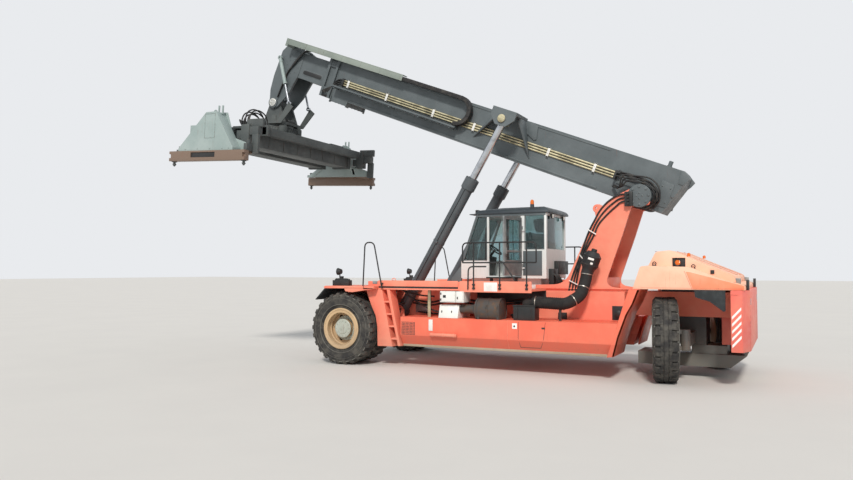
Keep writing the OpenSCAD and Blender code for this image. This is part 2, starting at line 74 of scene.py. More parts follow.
# Places: each turns a piece's own millimetres into the row frame's metres

def place(origin, ahead, up):
    """A matrix with its X along ahead and its Z along up."""
    x, z = Vector(ahead).normalized(), Vector(up).normalized()
    m = Matrix((x, z.cross(x), z)).transposed().to_4x4()
    m.translation = Vector(origin)
    return m


def middle(node):
    """The middle of a node's box."""
    lo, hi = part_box(node)
    return (Vector(lo) + Vector(hi)) / 2


def joint_at(name):
    """Where a joint stands, in metres."""
    return Vector(JOINTS[name]["pos_m"])


def joint_axis(name, like):
    """The joint's axis, turned to point the way that like does."""
    axis = Vector(JOINTS[name]["axis"]).normalized()
    return axis if axis.dot(Vector(like)) > 0 else -axis


def on_boom():
    """u along the boom from its pivot, w square to it."""
    u = joint_axis("boom_telescope", X)
    at = joint_at("boom_lift")
    return place((at.x, 0, at.z), u, u.cross(Vector(Y)))


def on_spreader():
    """The spreader's own coordinates, whose slew axis stands at SLEW_X."""
    up = joint_axis("spreader_slew", Z)
    ahead = Vector(Y).cross(up)
    return place(joint_at("spreader_slew") - SLEW_X / 1000 * ahead - 1.25 * up, ahead, up)


def on_lift(side):
    """Z along a lift cylinder from its base pin, X forward and down."""
    along = joint_axis("lift_rod_%s_stroke" % side, Z)
    return place(joint_at("lift_barrel_%s_swing" % side), Vector(Y).cross(along), along)


def on_damper(side):
    """Z down a tilt damper from its upper pin."""
    along = joint_axis("damper_stroke", (0, 0, -1))
    top = joint_at("damper_swing")
    return place((top.x, 0.45 * side, top.z), Vector(Y).cross(along), along)


def on_front_wheel(sign):
    """Z runs outward along the axle from the machine's middle plane."""
    centre = middle("front_tyres_left")
    return place((centre.x, 0, centre.z), X, (0, sign, 0))


def on_rear_wheel(side, sign):
    """Z runs outward along the steered axle from the kingpin."""
    centre, pin = middle("rear_tyre_%s" % side), joint_at("steer_%s" % side)
    out = Vector((centre.x - pin.x, centre.y - pin.y, 0))
    return place((pin.x, pin.y, centre.z), Vector((out.y, -out.x, 0)) * sign, out)


def on_door():
    """X along the open door from its hinge line, Y out of its outer face."""
    at = joint_at("cab_door_hinge")
    angle = math.radians(80)
    return place((at.x, at.y, 0), (math.cos(angle), math.sin(angle), 0), Z)


CHASSIS = Matrix.Translation((middle("front_tyres_left").x, 0, 0))


def spin(angle, axis="Z", at=(0, 0, 0)):
    """A turn by angle about an axis, then a shift to a point."""
    return Matrix.Translation(at) @ Matrix.Rotation(angle, 4, axis)


# Shader nodes

def linear(hex_colour):
    """An sRGB hex value as linear RGBA."""
    out = []
    for i in (1, 3, 5):
        c = int(hex_colour[i:i + 2], 16) / 255
        out.append(c / 12.92 if c <= 0.04045 else ((c + 0.055) / 1.055) ** 2.4)
    return (*out, 1.0)


def add(mat, kind, inputs=None, **settings):
    """Adds a shader node. inputs maps a socket to another node's output, a value, or a colour,
    which is a hex value or the name of a paint setting."""
    paints = bpy.context.scene.reach_stacker_paint
    n = mat.node_tree.nodes.new(kind)
    for key, value in settings.items():
        setattr(n, key, value)
    for key, value in (inputs or {}).items():
        if isinstance(value, bpy.types.NodeSocket):
            mat.node_tree.links.new(value, n.inputs[key])
        else:
            colour = isinstance(value, str)
            n.inputs[key].default_value = linear(getattr(paints, value, value)) if colour else value
    return n


def new_material(name, inputs=None):
    """A material with its output, its shader with those inputs, and its object coordinates."""
    mat = bpy.data.materials.new(name)
    mat.use_nodes = True
    mat.node_tree.nodes.clear()
    bsdf = add(mat, "ShaderNodeBsdfPrincipled", inputs)
    add(mat, "ShaderNodeOutputMaterial", {"Surface": bsdf.outputs[0]})
    coord = add(mat, "ShaderNodeTexCoord").outputs["Object"]
    return mat, bsdf, coord


def link(mat, output, bsdf, socket):
    """Leads a node's output into one of the shader's sockets."""
    mat.node_tree.links.new(output, bsdf.inputs[socket])


def noise(mat, coord, size, stretch=(1, 1, 1), detail=4.0, rough=0.6):
    """Noise whose lumps are about size metres across, stretched along the axes."""
    scaled = add(mat, "ShaderNodeMapping", {"Vector": coord, "Scale": tuple(1 / (size * s) for s in stretch)})
    return add(mat, "ShaderNodeTexNoise", {
        "Vector": scaled.outputs[0], "Scale": 1.0, "Detail": detail, "Roughness": rough
    }).outputs["Fac"]


def ramp(mat, value, low, high, out=(0.0, 1.0)):
    """value from low to high becomes out[0] to out[1], and stays there beyond."""
    return add(mat, "ShaderNodeMapRange", {
        "Value": value, "From Min": low, "From Max": high, "To Min": out[0], "To Max": out[1]
    }, interpolation_type="SMOOTHSTEP").outputs["Result"]


def times(mat, a, b):
    """The product of two values."""
    return add(mat, "ShaderNodeMath", {0: a, 1: b}, operation="MULTIPLY").outputs[0]


def mix(mat, fac, a, b):
    """Colour a where fac is 0 and b where it is 1."""
    return add(mat, "ShaderNodeMix", {0: fac, 6: a, 7: b}, data_type="RGBA").outputs[2]


def dot(mat, a, b):
    """The dot product: with a direction, how far a point lies along it in metres."""
    return add(mat, "ShaderNodeVectorMath", {0: a, 1: b}, operation="DOT_PRODUCT").outputs["Value"]


def worn_edges(mat, coord, radius, grain):
    """1 along edges that are rubbed bare, broken up by noise of that grain."""
    bevel = add(mat, "ShaderNodeBevel", {"Radius": radius}, samples=4)
    true = add(mat, "ShaderNodeNewGeometry").outputs["Normal"]
    facing = dot(mat, bevel.outputs[0], true)
    return times(mat, ramp(mat, facing, 0.98, 0.80), ramp(mat, noise(mat, coord, grain, detail=6), 0.46,
                                                          0.60))


def bump(mat, bsdf, value, distance, edge=None):
    """Height from value, over edges rounded by edge metres."""
    inputs = {"Height": value, "Distance": distance, "Strength": 1.0}
    if edge:
        inputs["Normal"] = add(mat, "ShaderNodeBevel", {"Radius": edge}, samples=4).outputs[0]
    link(mat, add(mat, "ShaderNodeBump", inputs).outputs[0], bsdf, "Normal")


# Materials

def painted_steel(name, paint, faded, bare, rust=0.5, dust=0.5, rough=0.42, band=None):
    """Sprayed alkyd enamel on welded plate: soft gloss, faded in patches, with dust low down,
    thin rust runs down the faces, and edges rubbed to bare or rusty steel.
    band is (direction, distance, colour): that colour lies below that distance along the direction."""
    mat, bsdf, coord = new_material(name, {"IOR": 1.5})
    colour = mix(mat, ramp(mat, noise(mat, coord, 0.9, detail=5), 0.35, 0.7), paint, faded)
    if band:
        level = dot(mat, coord, band[0])
        colour = mix(mat, ramp(mat, level, band[1] + 0.004, band[1] - 0.004), colour, band[2])
    # Rain streaks run down the faces, 20 mm wide and half a metre long
    streak = noise(mat, coord, 0.02, (1, 1, 26), detail=3)
    where = noise(mat, coord, 0.5, detail=2)
    runs = times(mat, ramp(mat, streak, 0.60, 0.74), ramp(mat, where, 0.50, 0.64))
    colour = mix(mat, times(mat, runs, rust), colour, "#7a3a1c")
    # Chips through the coat, 15 mm across and sparse
    chips = times(mat, ramp(mat, noise(mat, coord, 0.015, detail=2), 0.70, 0.74),
                  ramp(mat, where, 0.52, 0.60))
    colour = mix(mat, times(mat, chips, rust), colour, bare)
    # Road dust gathers below knee height
    level = dot(mat, coord, Z)
    grime = times(mat, ramp(mat, level, 1.4, 0.2), noise(mat, coord, 0.25, detail=6))
    colour = mix(mat, times(mat, grime, dust), colour, "#8d8072")
    colour = mix(mat, worn_edges(mat, coord, 0.008, 0.06), colour, bare)
    link(mat, colour, bsdf, "Base Color")
    link(mat, ramp(mat, noise(mat, coord, 0.12), 0.3, 0.7, (rough - 0.08, rough + 0.12)), bsdf, "Roughness")
    # Orange peel of a sprayed coat, drawn at 6 mm
    bump(mat, bsdf, noise(mat, coord, 0.006, detail=2), 0.0006, 0.006)
    return mat


def moulded_rubber(name, dark, dusty, amount=0.55):
    """Moulded carbon-black rubber: dull, with grey road dust lying on it in patches."""
    mat, bsdf, coord = new_material(name, {"Roughness": 0.85})
    patches = ramp(mat, noise(mat, coord, 0.18, detail=7, rough=0.7), amount - 0.17, amount + 0.13)
    link(mat, mix(mat, patches, dark, dusty), bsdf, "Base Color")
    bump(mat, bsdf, noise(mat, coord, 0.01, detail=4), 0.0015)
    return mat


def plain_metal(name, bright, dull, metallic, rough, grain=0.2):
    """Bare or plated metal: bright, clouded by handling and weather in patches."""
    mat, bsdf, coord = new_material(name, {"Metallic": metallic})
    cloud = ramp(mat, noise(mat, coord, grain, detail=6), 0.38, 0.66)
    link(mat, mix(mat, cloud, bright, dull), bsdf, "Base Color")
    link(mat, ramp(mat, noise(mat, coord, grain / 4, detail=5), 0.3, 0.7, (rough - 0.06, rough + 0.08)),
         bsdf, "Roughness")
    return mat


def hose_rubber():
    """Extruded rubber hose with a cloth-wrapped cover: near black, wrap lines drawn at 4 mm."""
    mat, bsdf, coord = new_material("hose_rubber_wrapped", {"Roughness": 0.55})
    link(mat, mix(mat, ramp(mat, noise(mat, coord, 0.1, detail=5), 0.45, 0.7), "#1b1b1c", "#3f3c38"),
         bsdf, "Base Color")
    bump(mat, bsdf, noise(mat, coord, 0.004, detail=2), 0.0006)
    return mat


def hot_rolled_steel():
    """Hot-rolled steel left bare beside the exhaust: matt brown scale over dark steel."""
    mat, bsdf, coord = new_material("steel_hot_rolled_rusty", {"Roughness": 0.72})
    scale = noise(mat, coord, 0.11, detail=8, rough=0.65)
    colour = mix(mat, ramp(mat, scale, 0.44, 0.60), "#4b4846", "#55463b")
    colour = mix(mat, ramp(mat, scale, 0.60, 0.70), colour, "#7d5133")
    link(mat, colour, bsdf, "Base Color")
    bump(mat, bsdf, scale, 0.004)
    return mat


def woven_polyester():
    """Woven polyester seat cloth: charcoal, yarns 3 mm apart so that they show."""
    mat, bsdf, coord = new_material("seat_polyester_woven", {"Roughness": 0.9, "Sheen Weight": 0.3})
    weave = add(mat, "ShaderNodeTexChecker", {"Vector": coord, "Scale": 1 / 0.003}).outputs["Fac"]
    link(mat, mix(mat, weave, "#23262a", "#34373c"), bsdf, "Base Color")
    bump(mat, bsdf, weave, 0.001)
    return mat


def float_glass():
    """Tempered float glass, faintly green, with a film of dust."""
    mat, bsdf, coord = new_material("glass_float_tinted", {"Transmission Weight": 0.94, "IOR": 1.5})
    link(mat, mix(mat, noise(mat, coord, 0.5), "#a9c4c6", "#96b1b4"), bsdf, "Base Color")
    link(mat, ramp(mat, noise(mat, coord, 0.2, detail=6), 0.4, 0.7, (0.02, 0.10)), bsdf, "Roughness")
    return mat


def moulded_lens(name, a, b):
    """Moulded polycarbonate lamp glass: glossy, its prisms drawn as ribs 8 mm apart."""
    mat, bsdf, coord = new_material(name, {"Roughness": 0.12, "IOR": 1.58})
    link(mat, mix(mat, noise(mat, coord, 0.05), a, b), bsdf, "Base Color")
    ribs = add(mat, "ShaderNodeTexWave", {"Vector": coord, "Scale": 1 / (0.008 * 3.14)}, bands_direction="Z")
    bump(mat, bsdf, ribs.outputs["Fac"], 0.001)
    return mat


SPREADER_UP = joint_axis("spreader_slew", Z)
SPREADER_RIM = (on_spreader() @ Vector((0, 0, 0.372))).dot(SPREADER_UP)


# Finishes: the record slot that each belongs to, and how it is made

def enamel(name, *colours, **values):
    """Sprayed enamel on steel. A colour is a hex value or the name of a paint setting."""
    return lambda: painted_steel("steel_enamel_" + name, *colours, **values)


FINISHES = {
    "chassis_red": ("chassis_red", enamel("coral", "chassis", "chassis_faded", "#7c5a4c", rust=0.35)),
    # Below 0.735 m the tanks take a darker colour: painted shade on their downward-facing skirts
    "tank_red": ("chassis_red", enamel(
        "coral_tank", "tank", "tank_faded", "#7c5a4c", rust=0.3, band=(Z, 0.735, "tank_skirt_shade"))),
    "wall_red": ("chassis_red", enamel(
        "coral_over_slabs", "wall", "chassis", "#7c5a4c", rust=0.4, band=(Z, 0.698, "slab"))),
    "sill_cream": ("rim_cream", enamel("cream_sill", "#cdbfa6", "#b7a68c", "#6d5847", rust=0.5, dust=0.6)),
    "hood_red": ("hood_red", enamel("coral_faded", "hood", "hood_faded", "#c9825f", rust=0.4, rough=0.6)),
    "hood_rear": ("hood_red", enamel(
        "coral_hood_rear", "#f58a62", "#f8a27e", "#c9825f", rust=0.3, rough=0.6)),
    "boom_grey": ("boom_grey", enamel("grey", "boom", "boom_faded", "#8a8f8f", rust=0.25, rough=0.5)),
    "cover_grey": ("boom_grey", enamel("cover_grey", "#7f8982", "#929b93", "#6d5847", rust=0.3, rough=0.5)),
    "spreader_dark": ("boom_grey", enamel(
        "grey_soiled", "#454b4c", "#5a5f5e", "#7a6250", rust=0.6, rough=0.6)),
    "spreader_grey": ("spreader_grey", enamel(
        "pale_grey", "spreader", "spreader_faded", "#6b4a38", rust=0.5)),
    "spreader_end": ("spreader_grey", enamel(
        "pale_grey_rubbed_rim", "spreader", "spreader_faded", "#6b4a38", rust=0.6,
        band=(tuple(SPREADER_UP), SPREADER_RIM, "#7e6a5c"))),
    "axle_grey": ("axle_grey", enamel("dark_grey", "#3a3d3f", "#484a4b", "#7a6a5c", rust=0.5, dust=0.9)),
    "cylinder_grey": ("cylinder_grey", enamel("slate", "#484e52", "#565c60", "#8b8f92", rust=0.2)),
    "hub_grey": ("axle_grey", enamel("pale_hub", "#c4cbc1", "#a9afa4", "#5f5a50", rust=0.5, dust=0.7)),
    "chrome_rod": ("chrome_rod", lambda: plain_metal("steel_hard_chromed", "#c9ccd0", "#a9adb2", 1.0, 0.22)),
    "pipe_zinc": ("pipe_zinc", lambda: plain_metal(
        "steel_pipe_zinc_plated", "#cfc7a6", "#9a9276", 0.6, 0.45)),
    "fitting_zinc": ("pipe_zinc", lambda: plain_metal(
        "steel_fitting_zinc_plated", "#dfe0dc", "#a5a59c", 0.6, 0.38, 0.05)),
    "machined_steel": ("chrome_rod", lambda: plain_metal(
        "steel_turned_bare", "#c8c4bb", "#8b8177", 0.9, 0.36, 0.05)),
    "tyre_rubber": ("tyre_rubber", lambda: moulded_rubber("tyre_rubber_moulded", "#2c2b2b", "#55524c")),
    "tyre_rim_rubber": ("tyre_rubber", lambda: moulded_rubber(
        "tyre_rubber_scuffed", "#5e5d59", "#7c7a73", 0.5)),
    "flap_rubber": ("black_rubber", lambda: moulded_rubber(
        "flap_rubber_calendered", "#2b2f31", "#3f4446", 0.6)),
    "rim_cream": ("rim_cream", enamel(
        "cream", "rim", "rim_faded", "#6b4a30", rust=0.8, dust=0.7, rough=0.55)),
    "black_steel": ("black_steel", enamel(
        "black", "#1d1f20", "#2e2f30", "#5d5148", rust=0.2, dust=0.6, rough=0.5)),
    "black_rubber": ("black_rubber", hose_rubber),
    "duct_rubber": ("black_rubber", lambda: moulded_rubber("duct_rubber_moulded", "#1d1c1c", "#2f2c2a", 0.6)),
    "cab_white": ("cab_white", enamel("white", "cab", "#e9ecea", "#8c8a84", rust=0.25)),
    "cab_dark": ("axle_grey", enamel("cab_grey", "#555e62", "#666f72", "#8c8a84", rust=0.2)),
    "roof_slate": ("black_steel", enamel("roof_slate", "#333b41", "#434b50", "#6f7476", rust=0.15)),
    "box_white": ("cab_white", lambda: painted_steel(
        "steel_powder_coated_white", "#f0f0ec", "#e4e3dd", "#9b968c", rust=0.35)),
    "label_white": ("cab_white", lambda: moulded_rubber("vinyl_film_white_blank", "#f3f3f0", "#e2e0da", 0.6)),
    "door_frame": ("axle_grey", lambda: plain_metal(
        "aluminium_anodised_grey", "#a4a7a6", "#85898a", 0.7, 0.4)),
    "cab_glass": ("cab_glass", float_glass),
    "seat_fabric": ("seat_fabric", woven_polyester),
    "rusty_steel": ("rusty_steel", hot_rolled_steel),
    "lamp_lens": ("cab_glass", lambda: moulded_lens("polycarbonate_moulded_clear", "#e8e6dc", "#cfcdc2")),
    "lamp_orange": ("cab_glass", lambda: moulded_lens("polycarbonate_moulded_orange", "#f07a1e", "#d9640f")),
    "lamp_red": ("cab_glass", lambda: moulded_lens("polycarbonate_moulded_red", "#b3261c", "#8f1912")),
}

# CAD nodes whose finish differs from their slot's plain one
NODE_FINISH = {
    "counterweight": "wall_red", "spreader_frame": "spreader_dark", "spreader_end_left": "spreader_end",
    "spreader_end_right": "spreader_end", "rotator": "spreader_dark", "hanger": "spreader_dark",
    "chain_cover": "cover_grey", "damper_barrels": "spreader_grey", "cab_door": "door_frame",
}
_made = {}  # Materials by finish


def material(finish):
    """The material of a finish, made once."""
    if finish not in _made:
        _made[finish] = FINISHES[finish][1]()
    return _made[finish]


# Making pieces

def round_edges(bm, radius):
    """Rounds every edge with two facets."""
    bmesh.ops.bevel(bm, geom=list(bm.edges), offset=radius, segments=2, profile=0.6, affect="EDGES",
                    clamp_overlap=True)


class Shape:
    """Collects rounded solids, in millimetres of one place, into one piece."""

    def __init__(self, where=CHASSIS):
        self.bm = bmesh.new()
        self.where = where

    def take(self, bm, turn=None):
        if turn is not None:
            bm.transform(turn)
            if turn.determinant() < 0:
                bmesh.ops.reverse_faces(bm, faces=bm.faces)
        mesh = bpy.data.meshes.new("solid")
        bm.to_mesh(mesh)
        bm.free()
        self.bm.from_mesh(mesh)
        bpy.data.meshes.remove(mesh)
        return self

    def block(self, x, y, z, edge=4.0, turn=None):
        """A box with rounded edges."""
        return self.prism([(x[0], z[0]), (x[1], z[0]), (x[1], z[1]), (x[0], z[1])], y, edge, turn)

    def blocks(self, rows, turn=None):
        """Boxes with rounded edges. A row is x0, x1, y0, y1, z0, z1, edge."""
        for x0, x1, y0, y1, z0, z1, edge in rows:
            self.block((x0, x1), (y0, y1), (z0, z1), edge, turn)
        return self

    def prism(self, outline, y, edge=3.0, turn=None):
        """An x, z outline between two values of y, with rounded edges."""
        bm = bmesh.new()
        face = bm.faces.new([bm.verts.new((p[0], y[0], p[1])) for p in outline])
        moved = bmesh.ops.extrude_face_region(bm, geom=[face])["geom"]
        moved = [v for v in moved if isinstance(v, bmesh.types.BMVert)]
        bmesh.ops.translate(bm, vec=(0, y[1] - y[0], 0), verts=moved)
        bmesh.ops.recalc_face_normals(bm, faces=bm.faces)
        sides = [abs(y[1] - y[0])] + [(Vector(a) - Vector(b)).length for a, b in zip(outline, outline[1:])]
        round_edges(bm, min(edge, 0.35 * min(sides)))
        return self.take(bm, turn)

    def hull(self, points, edge=4.0, turn=None):
        """The convex solid through the points, with rounded edges."""
        bm = bmesh.new()
        made = bmesh.ops.convex_hull(bm, input=[bm.verts.new(p) for p in points])
        loose = {v for v in made["geom_interior"] + made["geom_unused"] if isinstance(v, bmesh.types.BMVert)}
        bmesh.ops.delete(bm, geom=list(loose), context="VERTS")
        bmesh.ops.dissolve_limit(bm, angle_limit=0.02, verts=bm.verts, edges=bm.edges)
        round_edges(bm, edge)
        return self.take(bm, turn)

    def window(self, x, z, y, wide, turn=None):
        """A frame of four strips round an opening."""
        across = (x[0] - wide, x[1] + wide)
        for xs, zs in ((across, (z[0] - wide, z[0])), (across, (z[1], z[1] + wide)),
                       ((x[0] - wide, x[0]), z), ((x[1], x[1] + wide), z)):
            self.block(xs, y, zs, 3, turn)

    def cushion(self, size, crown, turn):
        """A pad whose faces swell by crown and whose sides pull in between the corners."""
        bm = bmesh.new()
        bmesh.ops.create_cube(bm, size=2)
        bmesh.ops.subdivide_edges(bm, edges=list(bm.edges), cuts=13, use_grid_fill=True)
        for v in bm.verts:
            x, y, z = v.co
            soft = (1 - x ** 4) * (1 - y ** 4)
            waist = (1 - abs(x)) * abs(y) ** 6 + (1 - abs(y)) * abs(x) ** 6
            corner = 1 - 0.06 * (1 - abs(z)) ** 2 - 0.05 * waist
            v.co = (x * corner * size[0] / 2, y * corner * size[1] / 2,
                    z * (size[2] / 2 * (0.62 + 0.38 * soft ** 0.5) + crown * soft))
        self.take(bm, turn)

    def cut(self, other):
        """Takes another shape's solids out of this one."""
        pair = []
        for shape in (self, other):
            mesh = bpy.data.meshes.new("cut")
            shape.bm.to_mesh(mesh)
            shape.bm.free()
            pair.append(bpy.data.objects.new("cut", mesh))
            bpy.context.scene.collection.objects.link(pair[-1])
        modifier = pair[0].modifiers.new("cut", "BOOLEAN")
        modifier.object, modifier.operation, modifier.solver = pair[1], "DIFFERENCE", "EXACT"
        modifier.use_self = True
        bpy.context.view_layer.update()
        result = pair[0].evaluated_get(bpy.context.evaluated_depsgraph_get())
        self.bm = bmesh.new()
        self.bm.from_mesh(result.to_mesh())
        result.to_mesh_clear()
        for obj in pair:
            bpy.data.meshes.remove(obj.data)

    def turned(self, profile, at=(0, 0, 0), axis=Z, steps=40, closed=False):
        """A body of revolution. profile lists (distance along the axis, radius). A closed one is a ring."""
        bm = bmesh.new()
        rings = []
        for far, r in profile:
            angles = [2 * math.pi * k / steps for k in range(steps if r > 1e-6 else 1)]
            rings.append([bm.verts.new((r * math.cos(a), r * math.sin(a), far)) for a in angles])
        pairs = list(zip(rings, rings[1:])) + ([(rings[-1], rings[0])] if closed else [])
        for a, b in pairs:
            for k in range(steps):
                quad = [a[k % len(a)], a[(k + 1) % len(a)], b[(k + 1) % len(b)], b[k % len(b)]]
                quad = [v for i, v in enumerate(quad) if v not in quad[:i]]
                if len(quad) > 2:
                    bm.faces.new(quad)
        if not closed:
            for ring in (rings[0], rings[-1]):
                if len(ring) > 1:
                    bm.faces.new(ring)
        bmesh.ops.recalc_face_normals(bm, faces=bm.faces)
        turn = Vector(Z).rotation_difference(Vector(axis)).to_matrix().to_4x4()
        turn.translation = Vector(at)
        self.take(bm, turn)

    def bar(self, a, b, r, chamfer=2.0, steps=20):
        """A round bar between two points, its ends chamfered."""
        a, b = Vector(a), Vector(b)
        length = (b - a).length
        c = min(chamfer, 0.4 * length, 0.4 * r)
        self.turned([(0, r - c), (c, r), (length - c, r), (length, r - c)], a, b - a, steps)

    def torus(self, at, axis, big, r, steps=36):
        """A round ring of wire."""
        self.turned([(r * math.sin(a), big + r * math.cos(a)) for a in (math.pi * k / 5 for k in range(10))],
                    at, axis, steps, closed=True)

    def band(self, at, axis, inner, outer, width, edge=3.0, steps=40):
        """A flat ring round a shaft, its outer corners rounded."""
        self.turned([(0, inner), (width, inner), (width, outer - edge), (width - edge, outer),
                     (edge, outer), (0, outer - edge)], at, axis, steps, closed=True)

    def bolts(self, at, axis, ring=0.0, count=1, head=11.0, high=8.0, start=0.0):
        """Hexagon heads on washers, evenly round a circle."""
        turn = Vector(Z).rotation_difference(Vector(axis)).to_matrix()
        for k in range(count):
            a = start + 2 * math.pi * k / count
            spot = Vector(at) + turn @ Vector((ring * math.cos(a), ring * math.sin(a), 0))
            self.turned([(-1, head * 1.25), (high * 0.3, head * 1.25)], spot, axis, 14)
            self.turned([(high * 0.3, head), (high * 0.85, head), (high, head * 0.8)], spot, axis, 6)

    def done(self, name, finish, body="chassis", both=False, crease=35.0):
        """Makes the piece, gives it its finish and lets it ride on its body."""
        if both:
            self.take(self.bm.copy(), MIRROR)
        mesh = bpy.data.meshes.new(name)
        self.bm.to_mesh(mesh)
        self.bm.free()
        mesh.transform(self.where @ Matrix.Scale(0.001, 4))
        for p in mesh.polygons:
            p.use_smooth = True
        mesh.set_sharp_from_angle(angle=math.radians(crease))
        return dress(bpy.data.objects.new(name, mesh), finish, body)


def dress(obj, finish, body):
    """Gives an object its finish's material, and lets it ride on its body."""
    obj.data.materials.append(material(finish))
    bpy.context.scene.collection.objects.link(obj)
    bpy.context.view_layer.update()
    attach(obj, body)
    return obj


def hoses(name, runs, r, finish, body="chassis", where=CHASSIS, bend=None):
    """Smooth hoses of radius r, each through its points. With bend, straight pipes with bent corners."""
    curve = bpy.data.curves.new(name, "CURVE")
    curve.dimensions = "3D"
    curve.bevel_depth = r / 1000
    curve.bevel_resolution = 4
    curve.resolution_u = 8
    curve.use_fill_caps = True
    for points in runs:
        if bend:
            points = softened(points, bend)
            spline = curve.splines.new("POLY")
            spline.points.add(len(points) - 1)
            for knot, p in zip(spline.points, points):
                knot.co = (*(where @ (Vector(p) / 1000)), 1)
            continue
        spline = curve.splines.new("BEZIER")
        spline.bezier_points.add(len(points) - 1)
        for knot, p in zip(spline.bezier_points, points):
            knot.co = where @ (Vector(p) / 1000)
            knot.handle_left_type = knot.handle_right_type = "AUTO"
    return dress(bpy.data.objects.new(name, curve), finish, body)


def arc(a, b, c, reach, count=6):
    """Points of a smooth turn from a towards c that cuts the corner b by reach on each side."""
    s = b + (a - b).normalized() * min(reach, (a - b).length / 2)
    e = b + (c - b).normalized() * min(reach, (c - b).length / 2)
    return [s.lerp(b, i / count).lerp(b.lerp(e, i / count), i / count) for i in range(count + 1)]


def softened(points, reach):
    """An open line with its corners turned smoothly."""
    line = [Vector(p) for p in points]
    out = [line[0]]
    for a, b, c in zip(line, line[1:], line[2:]):
        out += arc(a, b, c, reach)
    return out + [line[-1]]


def rounded(corners):
    """An x, z outline from corners (x, z, radius)."""
    out = []
    for k, (x, z, r) in enumerate(corners):
        a, b, c = Vector(corners[k - 1][:2]), Vector((x, z)), Vector(corners[(k + 1) % len(corners)][:2])
        turn = (b - a).angle(c - b)
        out += [tuple(p) for p in arc(a, b, c, r * math.tan(turn / 2))] if r else [(x, z)]
    return out


def between(a, b, count):
    """count values from a to b."""
    return [a + (b - a) * i / (count - 1) for i in range(count)]


# Settings

def paint(name, description, default):
    """A colour, as an sRGB hex value."""
    return bpy.props.StringProperty(name=name, description=description, default=default)


class PaintSettings(bpy.types.PropertyGroup):
    """Colours as sRGB hex values"""
    chassis: paint("Chassis", "Enamel of the frame, tower and tanks", "#f4846c")
    chassis_faded: paint("Chassis, faded", "The same enamel where the sun has bleached it", "#f99b80")
    # The tank skirt's colour is painted shade: darker enamel on the sloped lower edge, which faces down
    tank_skirt_shade: paint("Tank skirt", "The tanks' sloped lower edge, painted darker as shade", "#e8664c")
    tank: paint("Tanks", "Enamel of the tanks, which is younger", "#f46b51")
    tank_faded: paint("Tanks, faded", "The tanks where they are bleached", "#f97e61")
    wall: paint("Rear wall", "Enamel of the counterweight's wall", "#ea6a5e")
    slab: paint("Slabs", "Primer of the counterweight's belly slabs", "#6a6d6a")
    hood: paint("Hood", "Bleached enamel of the hood", "#fab899")
    hood_faded: paint("Hood, faded", "The hood where it is palest", "#fdcbae")
    boom: paint("Boom", "Enamel of the boom", "#555d60")
    boom_faded: paint("Boom, faded", "The boom where it is bleached", "#656d70")
    spreader: paint("Spreader ends", "Enamel of the spreader's end frames", "#93a3a1")
    spreader_faded: paint("Spreader ends, faded", "The same where it is rubbed", "#a5b2b0")
    cab: paint("Cab", "Enamel of the cab", "#dde1df")
    rim: paint("Rims", "Enamel of the wheel rims", "#d3b48c")
    rim_faded: paint("Rims, faded", "The rims where they are dusty", "#b79d78")


class WheelSettings(bpy.types.PropertyGroup):
    nuts: bpy.props.IntProperty(
        name="Wheel nuts", description="Nuts on each wheel's flange", default=20, min=8, max=30)
    tread_gap: bpy.props.FloatProperty(
        name="Tread gap", description="Gap between the shoulder blocks of a rear tyre, in millimetres",
        default=46.0, min=10.0, max=60.0)


class SeatSettings(bpy.types.PropertyGroup):
    crown: bpy.props.FloatProperty(name="Crown", description="How far the cushions swell, in millimetres",
                                   default=26.0, min=5.0, max=50.0)
    fill: bpy.props.FloatProperty(
        name="Fill", description="How tight the foam fills the cover", default=0.8, subtype="FACTOR",
        min=0.0, max=1.0)


class StageSettings(bpy.types.PropertyGroup):
    lens: bpy.props.FloatProperty(
        name="Lens", description="Focal length of the camera", default=30.44, unit="CAMERA")
    floor_colour: paint("Floor colour", "Colour of the plain floor, as sRGB hex", "#d6d3cf")
    sun_power: bpy.props.FloatProperty(
        name="Sun", description="Strength of the soft sun", default=2.5, min=0.0, max=10.0)
    sky_power: bpy.props.FloatProperty(
        name="Sky", description="Strength of the light from all round", default=0.62, min=0.0, max=3.0)


# Operators

class RS_OT_paint(bpy.types.Operator):
    """Gives every CAD node the material of its finish"""
    bl_idname = "reach_stacker.paint"
    bl_label = "Paint CAD nodes"

    def execute(self, context):
        for name, slot in SLOT_OF_NODE.items():
            obj = frame["nodes"][name]
            obj.data.materials.clear()
            obj.data.materials.append(material(NODE_FINISH.get(name, slot)))
        return {"FINISHED"}


